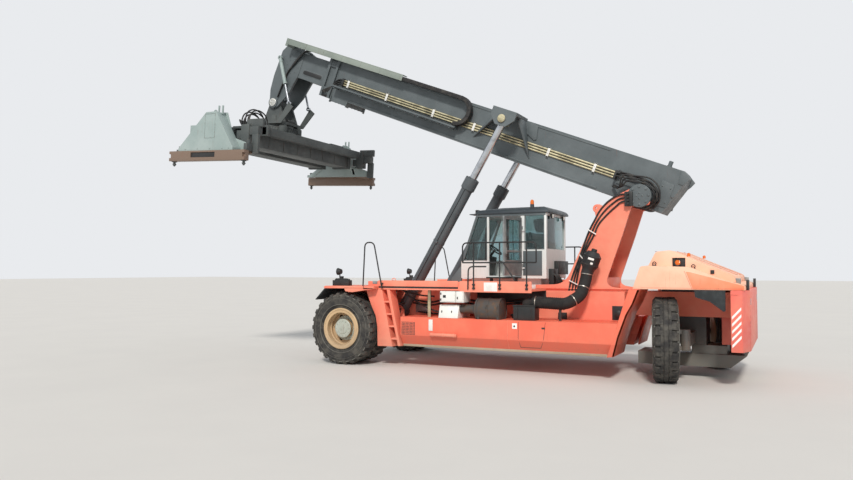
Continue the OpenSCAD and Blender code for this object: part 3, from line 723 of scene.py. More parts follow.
def wheel_trim(name, where, body, outer, disc, hub_r, hub_end, nuts, faces):
    """Rim lip, nuts and hub cap. outer is the tyre's outer face and disc the wheel disc's."""
    lip = Shape(where)
    lip.turned([(outer - 36, 438), (outer - 14, 434), (outer - 7, 446), (outer - 9, 464),
                (outer - 20, 479), (outer - 36, 479)], steps=72, closed=True)
    lip.turned([(outer - 21, 386), (outer - 13, 383), (outer - 15, 372), (outer - 24, 372),
                (outer - 40, 378), (outer - 40, 386)], steps=72, closed=True)
    # Well step and gutter inside the barrel
    lip.turned([(disc + 60, 382), (disc + 60, 366), (disc + 84, 360), (disc + 100, 366), (disc + 112, 382)],
               steps=72, closed=True)
    lip.bar((0, 376, outer - 60), (0, 372, outer - 6), 7)
    lip.done("%s_lip" % name, "rim_cream", body)

    hub = Shape(where)
    hub.turned([(disc - 1, hub_r + 86), (disc + 24, hub_r + 86), (disc + 30, hub_r + 78),
                (disc + 30, hub_r + 6)], steps=64)
    hub.bolts((0, 0, disc + 29), Z, hub_r + 48, nuts, 16, 20)
    hub.turned([(hub_end - 22, hub_r + 14), (hub_end, hub_r + 14), (hub_end + 8, hub_r + 6),
                (hub_end + 14, hub_r - 16), (hub_end + 16, hub_r - 70), (hub_end + 26, hub_r - 78),
                (hub_end + 30, hub_r - 92), (hub_end + 30, 0)], steps=64)
    hub.bolts((0, 0, hub_end + 13), Z, hub_r - 32, 12, 12, 10)
    # Drain and filler plugs
    hub.bolts((0, 0, hub_end + 29), Z, 46, 2, 17, 14, 0.6)
    hub.done("%s_hub_cap" % name, "hub_grey", body)

    rings = Shape(where)
    for far, out in faces:
        for inner, wide, high in ((556, 10, 5), (700, 7, 4), (768, 16, 12)):
            lift = 1 if inner < 750 else -30
            rings.turned([(far + out * (lift - 8), inner), (far + out * (lift + high - 3), inner),
                          (far + out * (lift + high), inner + wide / 2),
                          (far + out * (lift + high - 3), inner + wide),
                          (far + out * (lift - 8), inner + wide)], steps=96, closed=True)
    rings.done("%s_sidewall_rings" % name, "tyre_rim_rubber", body)


def tread_band(shape, mid, half):
    """The solid middle of a worn tread, with two grooves."""
    shape.turned([(mid - half, 796), (mid - half + 10, 830), (mid - 62, 834), (mid - 56, 820),
                  (mid - 42, 820), (mid - 36, 835), (mid + 36, 835), (mid + 42, 820), (mid + 56, 820),
                  (mid + 62, 834), (mid + half - 10, 830), (mid + half, 796)], steps=104, closed=True)


class RS_OT_wheels(bpy.types.Operator):
    """Adds the rims' lips, hub caps, nuts, sidewall rings and worn tread"""
    bl_idname = "reach_stacker.wheels"
    bl_label = "Wheels"

    def execute(self, context):
        settings = context.scene.reach_stacker_wheels
        # The CAD lugs: how many, half their width, the radius at their foot and the one at mid height
        lug_count, lug_half, shoulder, radius = 26, 45, 802, 840
        for side, sign, _ in SIDES:
            where, body = on_front_wheel(sign), "front_wheels_%s" % side
            wheel_trim("front_wheel_%s" % side, where, body, 2075, 1805, 205, 1965, settings.nuts,
                       ((2075, 1), (1035, -1)))
            tread = Shape(where)
            for mid in (1825, 1285):
                tread_band(tread, mid, 120)
            tread.done("front_tread_%s" % side, "tyre_rubber", body)

            where, body = on_rear_wheel(side, sign), "rear_wheel_%s" % side
            wheel_trim("rear_wheel_%s" % side, where, body, 620, 260, 180, 420, settings.nuts,
                       ((620, 1), (140, -1)))
            tread = Shape(where)
            tread_band(tread, 380, 112)
            # Blocks beside the CAD lugs leave only narrow notches at the shoulders
            pitch = 2 * math.pi * radius / lug_count
            block_half = (pitch - 2 * lug_half - settings.tread_gap) / 2
            turn_by = (lug_half + block_half - 2) / radius
            for i in range(lug_count):
                for s in (0, 1):
                    flip = 1 - 2 * s
                    a = 2 * math.pi * (i + s / 2) / lug_count
                    outline = [(shoulder - 40, 380 + flip * 106), (837, 380 + flip * 106),
                               (837, 380 + flip * 182), (shoulder - 20, 380 + flip * 229),
                               (shoulder - 60, 380 + flip * 229)]
                    tread.prism(outline, (-block_half, block_half), 6, spin(a + turn_by))
            tread.done("rear_tread_%s" % side, "tyre_rubber", body)
        return {"FINISHED"}


class RS_OT_chassis(bpy.types.Operator):
    """Adds seams, sill strips, the tank's hatch and cap, blank plates, chequer plate and rail clamps"""
    bl_idname = "reach_stacker.chassis"
    bl_label = "Chassis"

    def execute(self, context):
        skirt = spin(math.radians(-28), "X", (0, 1850, 740))
        strip = Shape()
        strip.block((-6125, -1492), (-3, 5), (-294, -236), 3, skirt)
        strip.done("sill_strips", "sill_cream", both=True)

        # Weld beads and panel gaps, a few millimetres proud so that they show
        seams = Shape()
        for x in (-4060, -2240):
            seams.bar((x, 1851, 744), (x, 1851, 1148), 4)
            seams.bar(skirt @ Vector((x, 1, -4)), skirt @ Vector((x, 1, -232)), 4)
        for a, b in (((-1496, 1851, 1147), (-6360, 1851, 1147)), ((-1120, 1852, 1752), (-1420, 1852, 490)),
                     ((-724, 1851, 1750), (-995, 1851, 470))):
            seams.bar(a, b, 4)
        seams.bar((-4300, 721, 1806), (-6160, 721, 1822), 5)
        seams.done("chassis_weld_beads", "chassis_red", both=True)

        # Tapered hatch in the left tank, drawn by its gap
        gap = Shape()
        hatch = [(-4300, 1850, 1128), (-4297, 1850, 800), (-4302, 1845, 742)]
        low = [skirt @ Vector((-4328, 2, -170)), skirt @ Vector((-4768, 2, -170))]
        back = [(-4838, 1845, 742), (-4850, 1850, 815), (-4886, 1850, 1128)]
        run = [Vector(p) for p in hatch + low + back]
        for a, b in zip(run, run[1:]):
            gap.bar(a, b, 4.5, steps=10)
        # Dark strip painted as the shade in the gap between fascia and deck, and the latch slot in the hatch
        gap.blocks([(-2915, -910, 1849, 1856, 1798, 1838, 1), (-4880, -4806, 1849, 1856, 990, 1026, 6)])
        gap.turned([(0, 20), (4, 20)], (-4213, 1856, 1030), Y, 20)
        gap.done("hatch_gap_and_fascia_shade", "black_steel")

        plate = Shape()
        plate.blocks([(-4272, -4164, 1850, 1856, 975, 1092, 4), (-3838, -3532, 1869, 1873, 1755, 1944, 3)])
        plate.done("blank_white_plates", "label_white")

        grey = Shape()
        grey.block((-1730, -1360), (861, 868), (1195, 1405), 3)
        grey.bolts((-1715, 868, 1210), Y)
        grey.bolts((-1375, 868, 1390), Y)
        # Bracket with two bolts on the fascia's front end
        grey.block((-868, -742), (1849, 1862), (1885, 1955), 6)
        grey.bolts((-805, 1862, 1920), Y, 36, 2, 12)
        grey.done("blank_frame_plate", "door_frame")

        # Step tube on its brackets, and the filler cap
        tube = Shape()
        tube.turned([(0, 30), (4, 38), (636, 38), (640, 30)], (-2900, 1900, 780), X, 28)
        for x in (-2840, -2580, -2320):
            tube.block((x - 20, x + 20), (1848, 1896), (760, 800), 4)
            tube.band((x - 24, 1900, 780), X, 37, 44, 48, 2, 28)
        tube.done("step_tube", "chassis_red")
        filler = Shape()
        filler.turned([(0, 74), (56, 74), (60, 68)], (-4000, 1200, 1150), Z)
        filler.turned([(0, 94), (30, 94), (40, 84), (44, 30), (44, 0)], (-4000, 1200, 1208), Z)
        for k in range(6):
            filler.block((-9, 9), (88, 99), (2, 32), 3, spin(k * math.pi / 3, at=(-4000, 1200, 1208)))
        filler.done("filler_cap", "black_steel")

        # Chequer plate on the walkways and fenders: raised lozenges, 2 mm high, 60 mm apart
        tread = Shape()
        plates = bmesh.new()
        for x0, x1, y0, y1, z in ((-4580, -1790, 1200, 1840, 1800), (-1040, -660, 880, 1840, 1800),
                                  (-600, 420, 900, 1680, 1835)):
            for i in range(int((x1 - x0) / 60)):
                for j in range(int((y1 - y0) / 60)):
                    x, y = x0 + 60 * i + 30, y0 + 60 * j + 30
                    long, wide = (24, 6) if (i + j) % 2 else (6, 24)
                    lozenge(plates, x, y, z, long, wide)
        tread.take(plates)
        tread.done("chequer_tread", "chassis_red", both=True, crease=20)

        # Serrated nosing on the steps
        nosing = Shape()
        for z, x in STEPS:
            for i in range(7):
                nosing.block((x - 18, x + 178), (1570 + 40 * i, 1578 + 40 * i), (z + 28, z + 38), 2)
        nosing.done("step_treads", "chassis_red", both=True)

        # Lifting eyes on the fascia and a rail clamp at each post's foot
        eyes = Shape()
        eyes.torus((-1310, 1860, 1978), Y, 44, 9)
        eyes.block((-1360, -1260), (1850, 1870), (1960, 1974), 3)
        eyes.done("fascia_ring", "chassis_red", both=True)
        feet = Shape()
        for x in (-3300, -3900, -4500, -1010):
            for z in (1800, 1880):
                feet.block((x - 30, x + 30), (1870, 1908), (z, z + 34), 5)
                for dx in (-22, 22):
                    feet.bolts((x + dx, 1908, z + 17), Y, head=7)
        feet.done("rail_clamps", "black_steel", both=True)
        return {"FINISHED"}


# Height of each step, and the place of its back edge on the sloped side
STEPS = [(z, -1410 + 290 * (z - 480) / 1280) for z in (620, 900, 1180, 1460)]


def lozenge(bm, x, y, z, long, wide):
    """One raised lozenge of chequer plate."""
    base = [bm.verts.new(p) for p in ((x - long, y, z), (x, y - wide, z), (x + long, y, z), (x, y + wide, z))]
    top = [bm.verts.new((x + (v.co.x - x) * 0.5, y + (v.co.y - y) * 0.5, z + 2.5)) for v in base]
    for k in range(4):
        bm.faces.new((base[k], base[(k + 1) % 4], top[(k + 1) % 4], top[k]))
    bm.faces.new(top)


class RS_OT_tanks(bpy.types.Operator):
    """Builds the tanks with their sloped skirts, arch plates and grille"""
    bl_idname = "reach_stacker.tanks"
    bl_label = "Tanks"

    def execute(self, context):
        arch = [(-6280, 500), (-6390, 910), (-6550, 1340), (-6670, 1550), (-6790, 1830),
                (-6740, 1830), (-6630, 1550), (-6510, 1340), (-6350, 910), (-6240, 500)]
        cheek = arch[:5] + [(-6580, 1830), (-6450, 1460), (-6260, 850), (-6140, 480)]
        for side, sign, turn in SIDES:
            tank = Shape()
            corners = []
            for y, z in ((900, 480), (900, 1150), (1850, 1150), (1850, 740), (1712, 480)):
                corners += [(-1480, y, z), (-6140 - 0.34 * (z - 480), y, z)]
            tank.hull(corners, 6, turn)
            tank.prism(arch, (862, 1850), 4, turn)
            tank.prism(cheek, (1810, 1850), 4, turn)
            for x in (-1900, -3700, -5500):
                tank.block((x, x + 160), (861, 901), (640, 1090), 3, turn)
            # Rungs of the grille at the front end
            for x in range(-1830, -1510, 35):
                tank.block((x, x + 11), (1848, 1857), (752, 1038), 2, turn)
            for z in range(770, 1030, 35):
                tank.block((-1848, -1502), (1848, 1855), (z, z + 10), 2, turn)
            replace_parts(tank.done("tank_%s" % side, "tank_red"), "side_body_%s" % side)
        dark = Shape()
        dark.block((-1850, -1500), (1848, 1852), (750, 1040), 1)
        dark.done("grille_shadow", "black_steel", both=True)
        return {"FINISHED"}


class RS_OT_decks(bpy.types.Operator):
    """Builds the fenders, flaps, fascia, steps, rails, lamps and tower"""
    bl_idname = "reach_stacker.decks"
    bl_label = "Decks and tower"

    def execute(self, context):
        fender = Shape()
        fender.prism([(-640, 1835), (440, 1835), (480, 1805), (460, 1775), (-640, 1785)], (862, 2072), 4)
        fender.prism([(-90, 1797), (-130, 1712), (-320, 1692), (-860, 1772), (-900, 1797)], (2042, 2072), 4)
        fender.prism([(-618, 1835), (-618, 1760), (-900, 1780), (-900, 1835)], (1852, 2072), 4)
        for x in (-440, -60, 320):
            fender.block((x, x + 30), (861, 1020), (1400, 1786), 3)
        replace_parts(fender.done("fender_plates", "chassis_red", both=True), "fenders")

        flap = Shape()
        flap.prism([(420, 1775), (700, 1500), (720, 1512), (460, 1775)], (920, 2070), 3)
        flap.prism([(-7780, 1838), (-8330, 1838), (-8330, 1450), (-8290, 1440), (-8190, 1520), (-8050, 1625),
                    (-7800, 1700)], (1760, 1780), 3)
        for x in (-7900, -8060, -8220):
            flap.bolts((x, 1780, 1800), Y)
        flap.done("mud_flaps", "flap_rubber", both=True)

        deck = Shape()
        deck.blocks([(-2920, -905, 1850, 1870, 1836, 1970, 4), (-4600, -2960, 1850, 1870, 1730, 1970, 4)])
        deck.prism([(-560, 1758), (-700, 1400), (-850, 1100), (-885, 840), (-885, 462), (-1270, 462),
                    (-990, 1758)], (1200, 1851), 5)
        deck.prism([(-1120, 1758), (-1190, 1758), (-1475, 480), (-1410, 480)], (1560, 1848), 4)
        for z, x in STEPS:
            deck.block((x - 20, x + 180), (1560, 1840), (z, z + 30), 4)
        deck.done("fascia_and_steps", "chassis_red", both=True)

        plate = Shape()
        outline = rounded([
            (-4310, 1762, 0), (-4310, 1885, 0), (-4980, 1900, 420), (-5550, 3130, 0), (-5870, 3650, 300),
            (-6230, 3860, 0), (-6600, 4020, 200), (-6840, 3840, 80), (-6800, 3580, 60), (-6430, 3560, 0),
            (-6230, 2940, 0), (-5850, 1870, 170), (-6450, 1790, 0), (-6450, 1762, 0)])
        plate.prism(outline, (660, 720), 5)
        plate.prism([(-5740, 3640), (-5650, 3480), (-5690, 3280), (-5900, 3560)], (662, 718), 4)
        # Lug at the front edge and its eye
        plate.turned([(660, 38), (660, 86), (664, 90), (716, 90), (720, 86), (720, 38)],
                     (-5700, 0, 3545), Y, closed=True)
        # Foot flange
        plate.prism([(-4330, 1802), (-6430, 1802), (-6430, 1822), (-4330, 1822)], (718, 760), 3)
        plate.done("tower_plates", "chassis_red", both=True)
        cap = Shape()
        pivot = (-6600, 749, 3780)
        cap.turned([(-90, 245), (-4, 245), (1, 238), (1, 0)], pivot, Y, 64)
        cap.bolts(pivot, Y, 190, 8, 24, 16)
        cap.bolts(pivot, Y, 60, 4, 16, 12)
        cap.done("tower_pivot_caps", "boom_grey", both=True)
        web = Shape()
        web.prism([(-5090, 2150), (-5140, 2130), (-5590, 3100), (-5540, 3120)], (-661, 661), 4)
        web.bar((-5650, -661, 2300), (-5650, 661, 2300), 90)
        web.block((-5900, -5860), (-661, 661), (1762, 2050), 4)
        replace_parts(web.done("tower_web", "chassis_red"), "tower")

        rails = [[(x, 1886, 1790), (x, 1886, 2800)] for x in (-3300, -3900, -4500)] + [
            [(-3040, 1886, 2370), (-3040, 1886, 2800), (-4710, 1886, 2800), (-4710, 1886, 2370)],
            [(-3040, 1886, 2370), (-4710, 1886, 2370)],
            [(-500, 1886, 1836), (-550, 1886, 2850), (-790, 1886, 2850), (-1010, 1886, 1790)],
            [(-3974, 1886, 2372), (-4191, 1886, 2066), (-4240, 1880, 1990)],
            [(-3164, 1886, 1790), (-3178, 1886, 2285), (-3594, 1886, 2284)]]
        rails += [[(x, -y, z) for x, y, z in run] for run in rails]
        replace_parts(hoses("rails", rails, 16, "black_steel", bend=110), "handrails")

        lamp = Shape()
        lamp.block((-80, 380), (1700, 1850), (1836, 1966), 8)
        lamp.prism([(-40, 1964), (-40, 1990), (60, 2010), (300, 2010), (340, 1964)], (1720, 1830), 4)
        lamp.bar((220, 1775, 2000), (220, 1775, 2110), 14)
        lamp.turned([(0, 60), (90, 85), (94, 85), (94, 76), (80, 60), (80, 0)], (180, 1775, 2170), X)
        lamp.block((130, 200), (1740, 1810), (2010, 2060), 5)
        for x in (150, -20):
            lamp.bolts((x, 1851, 1900), Y)
        lamp.done("fender_lamp_boxes", "black_steel", both=True)
        lens = Shape()
        lens.turned([(60, 74), (66, 70), (74, 40), (76, 0)], (180, 1775, 2170), X)
        lens.block((374, 386), (1720, 1830), (1856, 1946), 6)
        lens.done("fender_lamp_lenses", "lamp_lens", both=True)
        return {"FINISHED"}


class RS_OT_rear(bpy.types.Operator):
    """Builds the rear wall, slabs and hood, with their stripes, lamps and seams"""
    bl_idname = "reach_stacker.rear"
    bl_label = "Rear end"

    def execute(self, context):
        wall = Shape()
        wall.block((-8738, -8580), (-1500, 1500), (700, 1838), 6)
        for s in (1, -1):
            plan = ((-8738, 1490), (-8620, 1849), (-8420, 1849), (-8470, 1700), (-8580, 1440))
            wall.hull([(x, s * y, z) for x, y in plan for z in (700, 1838)], 6)
        wall.block((-8590, -8150), (-418, 418), (702, 1250), 5)
        # Belly slabs with their flame-cut ends
        wall.prism([(-6480, 232), (-8300, 232), (-8600, 480), (-8700, 702), (-8580, 702), (-8560, 498),
                    (-6480, 498)], (-418, 418), 8)
        wall.block((-8240, -7560), (-390, 390), (497, 676), 5)
        # Groove under the top edge and the seams between the castings
        wall.bar((-8560, 1852, 1757), (-8430, 1852, 1757), 4)
        for y in (-900, -300, 300, 900):
            wall.bar((-8736, y, 720), (-8736, y, 1820), 4)
        wall.bar((-8736, -1480, 1240), (-8736, 1480, 1240), 4)
        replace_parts(wall.done("rear_wall", "wall_red"), "counterweight")

        stripes = Shape()
        slant = ((-8440, 0), (-8440, 56), (-8600, 180), (-8600, 236))
        for s in (1, -1):
            for z in range(780, 1310, 130):
                stripes.hull([(x, s * y, z + dz) for x, dz in slant for y in (1845, 1852)], 1)
        stripes.done("rear_stripes", "label_white")
        scuff = Shape()
        scuff.prism([(-8300, 226), (-8606, 478), (-8708, 704), (-8702, 706), (-8598, 484), (-8298, 236)],
                    (-360, 360), 1)
        scuff.done("slab_scuff", "sill_cream")
        tail = Shape()
        tail.block((-8740, -8700), (1180, 1440), (1560, 1680), 6)
        tail.done("tail_lamps", "lamp_red", both=True)
        tail = Shape()
        tail.blocks([(-8736, -8690, 1160, 1460, 1540, 1700, 6), (-8720, -8672, 1300, 1490, 1842, 2030, 6)])
        tail.done("tail_lamp_boxes", "black_steel", both=True)

        half = 1600
        hood = Shape()
        low = rounded([(-6640, 1841, 0), (-6790, 2285, 60), (-6930, 2300, 0), (-7700, 2275, 200),
                       (-8340, 2020, 0), (-8670, 1930, 60), (-8670, 1841, 0)])
        hood.prism(low, (-1790, 1790), 14)
        high = rounded([(-6900, 2270, 0), (-7060, 2575, 90), (-7330, 2600, 160), (-8480, 2110, 120),
                        (-8500, 1980, 0)])
        hood.prism(high, (-half, half), 14)
        inside = Shape()
        inside.prism([(-6700, 1800), (-6830, 2235), (-6960, 2245), (-7100, 2520), (-7320, 2540),
                      (-8430, 2050), (-8600, 1800)], (-half + 60, half - 60), 1)
        for y in ((1400, 1730), (-1730, -1400)):
            inside.prism([(-6700, 1800), (-6830, 2235), (-7690, 2220), (-8330, 1960), (-8600, 1800)], y, 1)
        for y in (1590, -1590):
            inside.block((-7610, -7366), (y - 30, y + 30), (2262, 2452), 4)
        hood.cut(inside)
        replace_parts(hood.done("hood_panels", "hood_red"), "hood")

        seams = Shape()
        seams.bar((-7610, 1792, 2200), (-7750, 1792, 1846), 4)
        for y in (-540, 540):
            seams.bar((-7320, y, 2603), (-8470, y, 2119), 4)
        seams.bar((-7050, -1590, 2580), (-7050, 1590, 2580), 4)
        seams.bar((-6800, 1791, 1870), (-8640, 1791, 1870), 3)
        seams.done("hood_seams", "chassis_red", both=True)
        latch = Shape()
        for x, z in ((-7038, 2340), (-7757, 2285)):
            latch.torus((x, 1640, z), Y, 34, 8)
            latch.block((x - 40, x + 40), (1632, 1650), (z - 48, z - 30), 3)
        latch.blocks([(-8130, -8060, 1602, 1616, 2140, 2215, 4), (-7606, -7370, 1556, 1564, 2266, 2448, 2)])
        latch.turned([(0, 45), (56, 68), (62, 68), (62, 60), (40, 40), (40, 0)], (-7470, 1562, 2360), Y)
        latch.done("hood_fittings", "black_steel", both=True)
        shade = Shape()
        shade.prism([(-7640, 2180), (-7765, 1848), (-8656, 1848), (-8656, 1922), (-8340, 2006),
                     (-7705, 2176)], (1789, 1792), 1)
        shade.done("hood_rear_panels", "hood_rear", both=True)
        block = Shape()
        block.block((-8578, -8463), (1400, 1470), (1960, 2060), 6)
        block.done("hood_blocks", "door_frame", both=True)
        glow = Shape()
        glow.turned([(40, 58), (56, 60), (64, 44), (68, 0)], (-7470, 1550, 2360), Y)
        glow.turned([(0, 34), (60, 30), (74, 0)], (-7650, -1400, 2480), Z)
        glow.done("hood_lamp_lenses", "lamp_orange", both=True)
        return {"FINISHED"}


class RS_OT_bay(bpy.types.Operator):
    """Builds the muffler, intake, boxes, valve block and hoses beside the frame"""
    bl_idname = "reach_stacker.bay"
    bl_label = "Engine bay and hydraulics"

    def execute(self, context):
        drum = Shape()
        x, y, z = -3880, 1640, 1352
        drum.turned([(0, 190), (12, 240), (40, 249), (520, 249), (550, 240), (590, 180), (650, 118),
                     (690, 100), (940, 99), (980, 99)], (x, y, z), X, 56)
        for at in (0, 260, 530):
            drum.band((x + at, y, z), X, 247, 262, 34, 4, 56)
        for at in (18, 280):
            drum.block((x + at, x + at + 24), (y + 236, y + 274), (z + 40, z + 110), 4)
            drum.bolts((x + at + 12, y + 274, z + 60), Y, head=8)
        drum.blocks([
            (x + 30, x + 70, y - 200, y + 200, 1150, 1240, 4),
            (x + 480, x + 520, y - 200, y + 200, 1150, 1240, 4)])
        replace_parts(drum.done("muffler_drum", "rusty_steel"), "muffler")
        hoses("muffler_outlet", [[(-2940, y, z), (-2860, y, z), (-2790, y - 60, z - 40),
                                  (-2760, y - 200, 1260)]], 88, "rusty_steel")

        cleaner = Shape()
        cleaner.blocks([
            (-4630, -4150, 1450, 1750, 1151, 1441, 12), (-4642, -4138, 1440, 1760, 1440, 1471, 8)])
        for at in (-4570, -4250):
            cleaner.blocks([
                (at, at + 40, 1749, 1766, 1190, 1400, 4), (at + 8, at + 32, 1764, 1778, 1330, 1410, 4)])
        base, lean = Vector((-5560, 1100, 2120)), Vector((-0.32, 0, 0.95)).normalized()
        cleaner.turned([(0, 126), (90, 130), (130, 138), (180, 168), (210, 178), (380, 184), (396, 192),
                        (412, 192), (426, 176), (500, 120), (506, 62), (560, 58), (566, 40)], base, lean, 56)
        cleaner.band(base + lean * 212, lean, 176, 188, 14)
        cleaner.block((-5130, -5080), (1490, 1530), (1151, 1480), 4)
        cleaner.done("air_cleaner", "black_steel")
        labels = Shape()
        tilt = place((0, 0, 0), (0.95, 0, 0.32), lean)
        for angle, wide, at in ((100, 62, 330), (112, 26, 240)):
            labels.block((174, 189), (-wide, wide), (at, at + 44), 2,
                         Matrix.Translation(base) @ tilt @ spin(math.radians(angle)))
        labels.done("intake_label", "label_white")
        duct = [(-4430, 1600, 1450), (-4430, 1600, 1540), (-5230, 1490, 1500), (-5490, 1300, 1680),
                (-5556, 1112, 2040), (-5566, 1100, 2150)]
        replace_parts(hoses("intake_hose", [duct], 124, "duct_rubber", bend=130), "intake_duct")
        rings = Shape()
        for at in range(-4640, -5200, -42):
            rings.torus((at, 1600 + (at + 4430) * 0.137, 1540 + (at + 4430) * 0.05), (1, 0.137, 0.05), 122, 9,
                        28)
        rings.done("duct_bellows", "duct_rubber")
        clamps = Shape()
        for at, ahead in (((-4600, 1577, 1531), (1, 0.137, 0.05)), ((-5360, 1395, 1590), (0.82, 0.6, -0.57)),
                          ((-5520, 1216, 1840), (0.17, 0.48, -0.92)), ((-5566, 1100, 2135), (0.15, 0.1, -1))):
            clamps.band(at, ahead, 122, 130, 18, 2)
        clamps.done("duct_clamps", "machined_steel")

        boxes = Shape()
        for a, b in ((-2860, -2490), (-3060, -2880)):
            boxes.blocks([(a, b, 1500, 1880, 1500, 1745, 10), (a + 18, b - 18, 1876, 1890, 1520, 1728, 5)])
        slope = ((1150, 1151), (1150, 1440), (1760, 1440), (1840, 1151))
        boxes.hull([(x, y, z) for x in (-2900, -2430) for y, z in slope], 10)
        boxes.blocks([(-2860, -2470, 1600, 1768, 1380, 1436, 4), (-2300, -2200, 1851, 1860, 860, 1110, 3)])
        boxes.done("side_boxes", "box_white")
        knobs = Shape()
        for at, y, z in ((-2520, 1891, 1560), (-2520, 1891, 1690), (-2920, 1891, 1600), (-2740, 1800, 1290),
                         (-2500, 1800, 1290)):
            knobs.block((at - 10, at + 10), (y - 4, y + 14), (z - 24, z + 24), 3)
        knobs.block((-2640, -2570), (1889, 1894), (1600, 1660), 2)
        knobs.done("box_latches", "black_steel")

        # Valve block under the cylinder's deck slot, with its fittings
        valve = Shape()
        valve.blocks([(-1125, -920, 1380, 1540, 1434, 1700, 8), (-1060, -960, 1536, 1572, 1500, 1640, 6)])
        for dx in (0, 60, 120):
            valve.turned([(0, 26), (10, 30), (34, 30), (44, 22), (60, 22)], (-1090 + dx, 1460, 1698), Z, 18)
            valve.turned([(0, 22), (30, 22), (34, 16), (50, 16)], (-1090 + dx, 1540, 1470), Y, 18)
        valve.done("valve_block", "fitting_zinc")
        dark = Shape()
        for px, pz in ((-686, 1700), (-906, 1645), (-815, 1200), (-1064, 1057), (-752, 1155)):
            dark.turned([(0, 30), (16, 34), (60, 34), (66, 24), (90, 22)], (px, 1150, pz), Y, 20)
        # The long thin block is a dark sheet on the frame's side under the walkway: painted shade beneath the deck
        dark.blocks([(-2118, -2048, 1560, 1600, 628, 1823, 4), (-4600, -2960, 861, 870, 1480, 1757, 2)])
        dark.done("valve_fittings_and_walkway_shade", "black_steel")
        runs = [
            [(-1090, 1590, 1470), (-1180, 1600, 1440), (-1250, 1500, 1420), (-1255, 1240, 1422)],
            [(-1030, 1590, 1470), (-1060, 1610, 1360), (-1116, 1420, 1283), (-1116, 1180, 1283)],
            [(-970, 1590, 1470), (-960, 1600, 1300), (-1085, 1400, 1145), (-1085, 1180, 1145)],
            [(-1090, 1460, 1755), (-1160, 1460, 1790), (-1300, 1400, 1740), (-1600, 1300, 1640),
             (-2069, 1300, 1600)],
            [(-1030, 1460, 1755), (-1200, 1480, 1810), (-1500, 1350, 1560), (-2039, 1330, 1289),
             (-2300, 1320, 1240)],
            [(-1480, 960, 1220), (-1900, 1050, 1190), (-2245, 1100, 1190), (-2300, 1160, 1180)],
            [(-1300, 880, 1500), (-1800, 900, 1450), (-2300, 900, 1560), (-3000, 890, 1500),
             (-4200, 885, 1560)],
            [(-1300, 880, 1420), (-1800, 900, 1380), (-2300, 900, 1480), (-3000, 890, 1420),
             (-4200, 885, 1480)],
        ]
        hoses("bay_hoses", runs, 19, "black_rubber")
        Shape().block((-2120, -2050), (1596, 1602), (640, 1810), 2).done("bay_strap", "pipe_zinc")

        # Three hoses up the tower and over its shoulder
        outer = [(-5040, 1700), (-5107, 1974), (-5328, 2537), (-5521, 3083), (-5635, 3298), (-5782, 3554),
                 (-5985, 3748), (-6184, 3839), (-6330, 3850)]
        inner = [(-5240, 1700), (-5259, 1900), (-5390, 2462), (-5670, 2992), (-5740, 3160), (-5880, 3320),
                 (-6124, 3541), (-6250, 3640), (-6340, 3640)]
        runs = []
        for t in (0.12, 0.5, 0.88):
            runs.append([(a[0] + t * (b[0] - a[0]), 742 + 8 * math.sin(i), a[1] + t * (b[1] - a[1]))
                         for i, (a, b) in enumerate(zip(outer, inner))])
        hoses("tower_hoses", runs, 19, "black_rubber")
        clamps = Shape()
        for a, b in (((-5107, 1974), (-5259, 1900)), ((-5328, 2537), (-5390, 2462)),
                     ((-5521, 3083), (-5670, 2992))):
            a, b = Vector((a[0], 762, a[1])), Vector((b[0], 762, b[1]))
            clamps.bar(a + (a - b) * 0.12, b + (b - a) * 0.12, 13)
            for end in (a, b):
                clamps.bar(end, end - Vector((0, 44, 0)), 9)
        clamps.done("tower_hose_clamps", "box_white")
        joints = Shape()
        joints.block((-6472, -6309), (750, 830), (3560, 3870), 8)
        for i in range(4):
            joints.turned([(0, 20), (24, 26), (60, 26), (70, 18)], (-6390, 828, 3610 + 70 * i), Y, 18)
        joints.block((-6290, -6040), (860, 868), (1160, 1455), 2)
        joints.turned([(0, 60), (20, 66), (70, 66), (80, 50), (80, 0)], (-6178, 874, 1300), Y, 28)
        joints.block((-5070, -4890), (862, 950), (1134, 1290), 8)
        joints.done("tower_manifold", "black_steel")
        return {"FINISHED"}


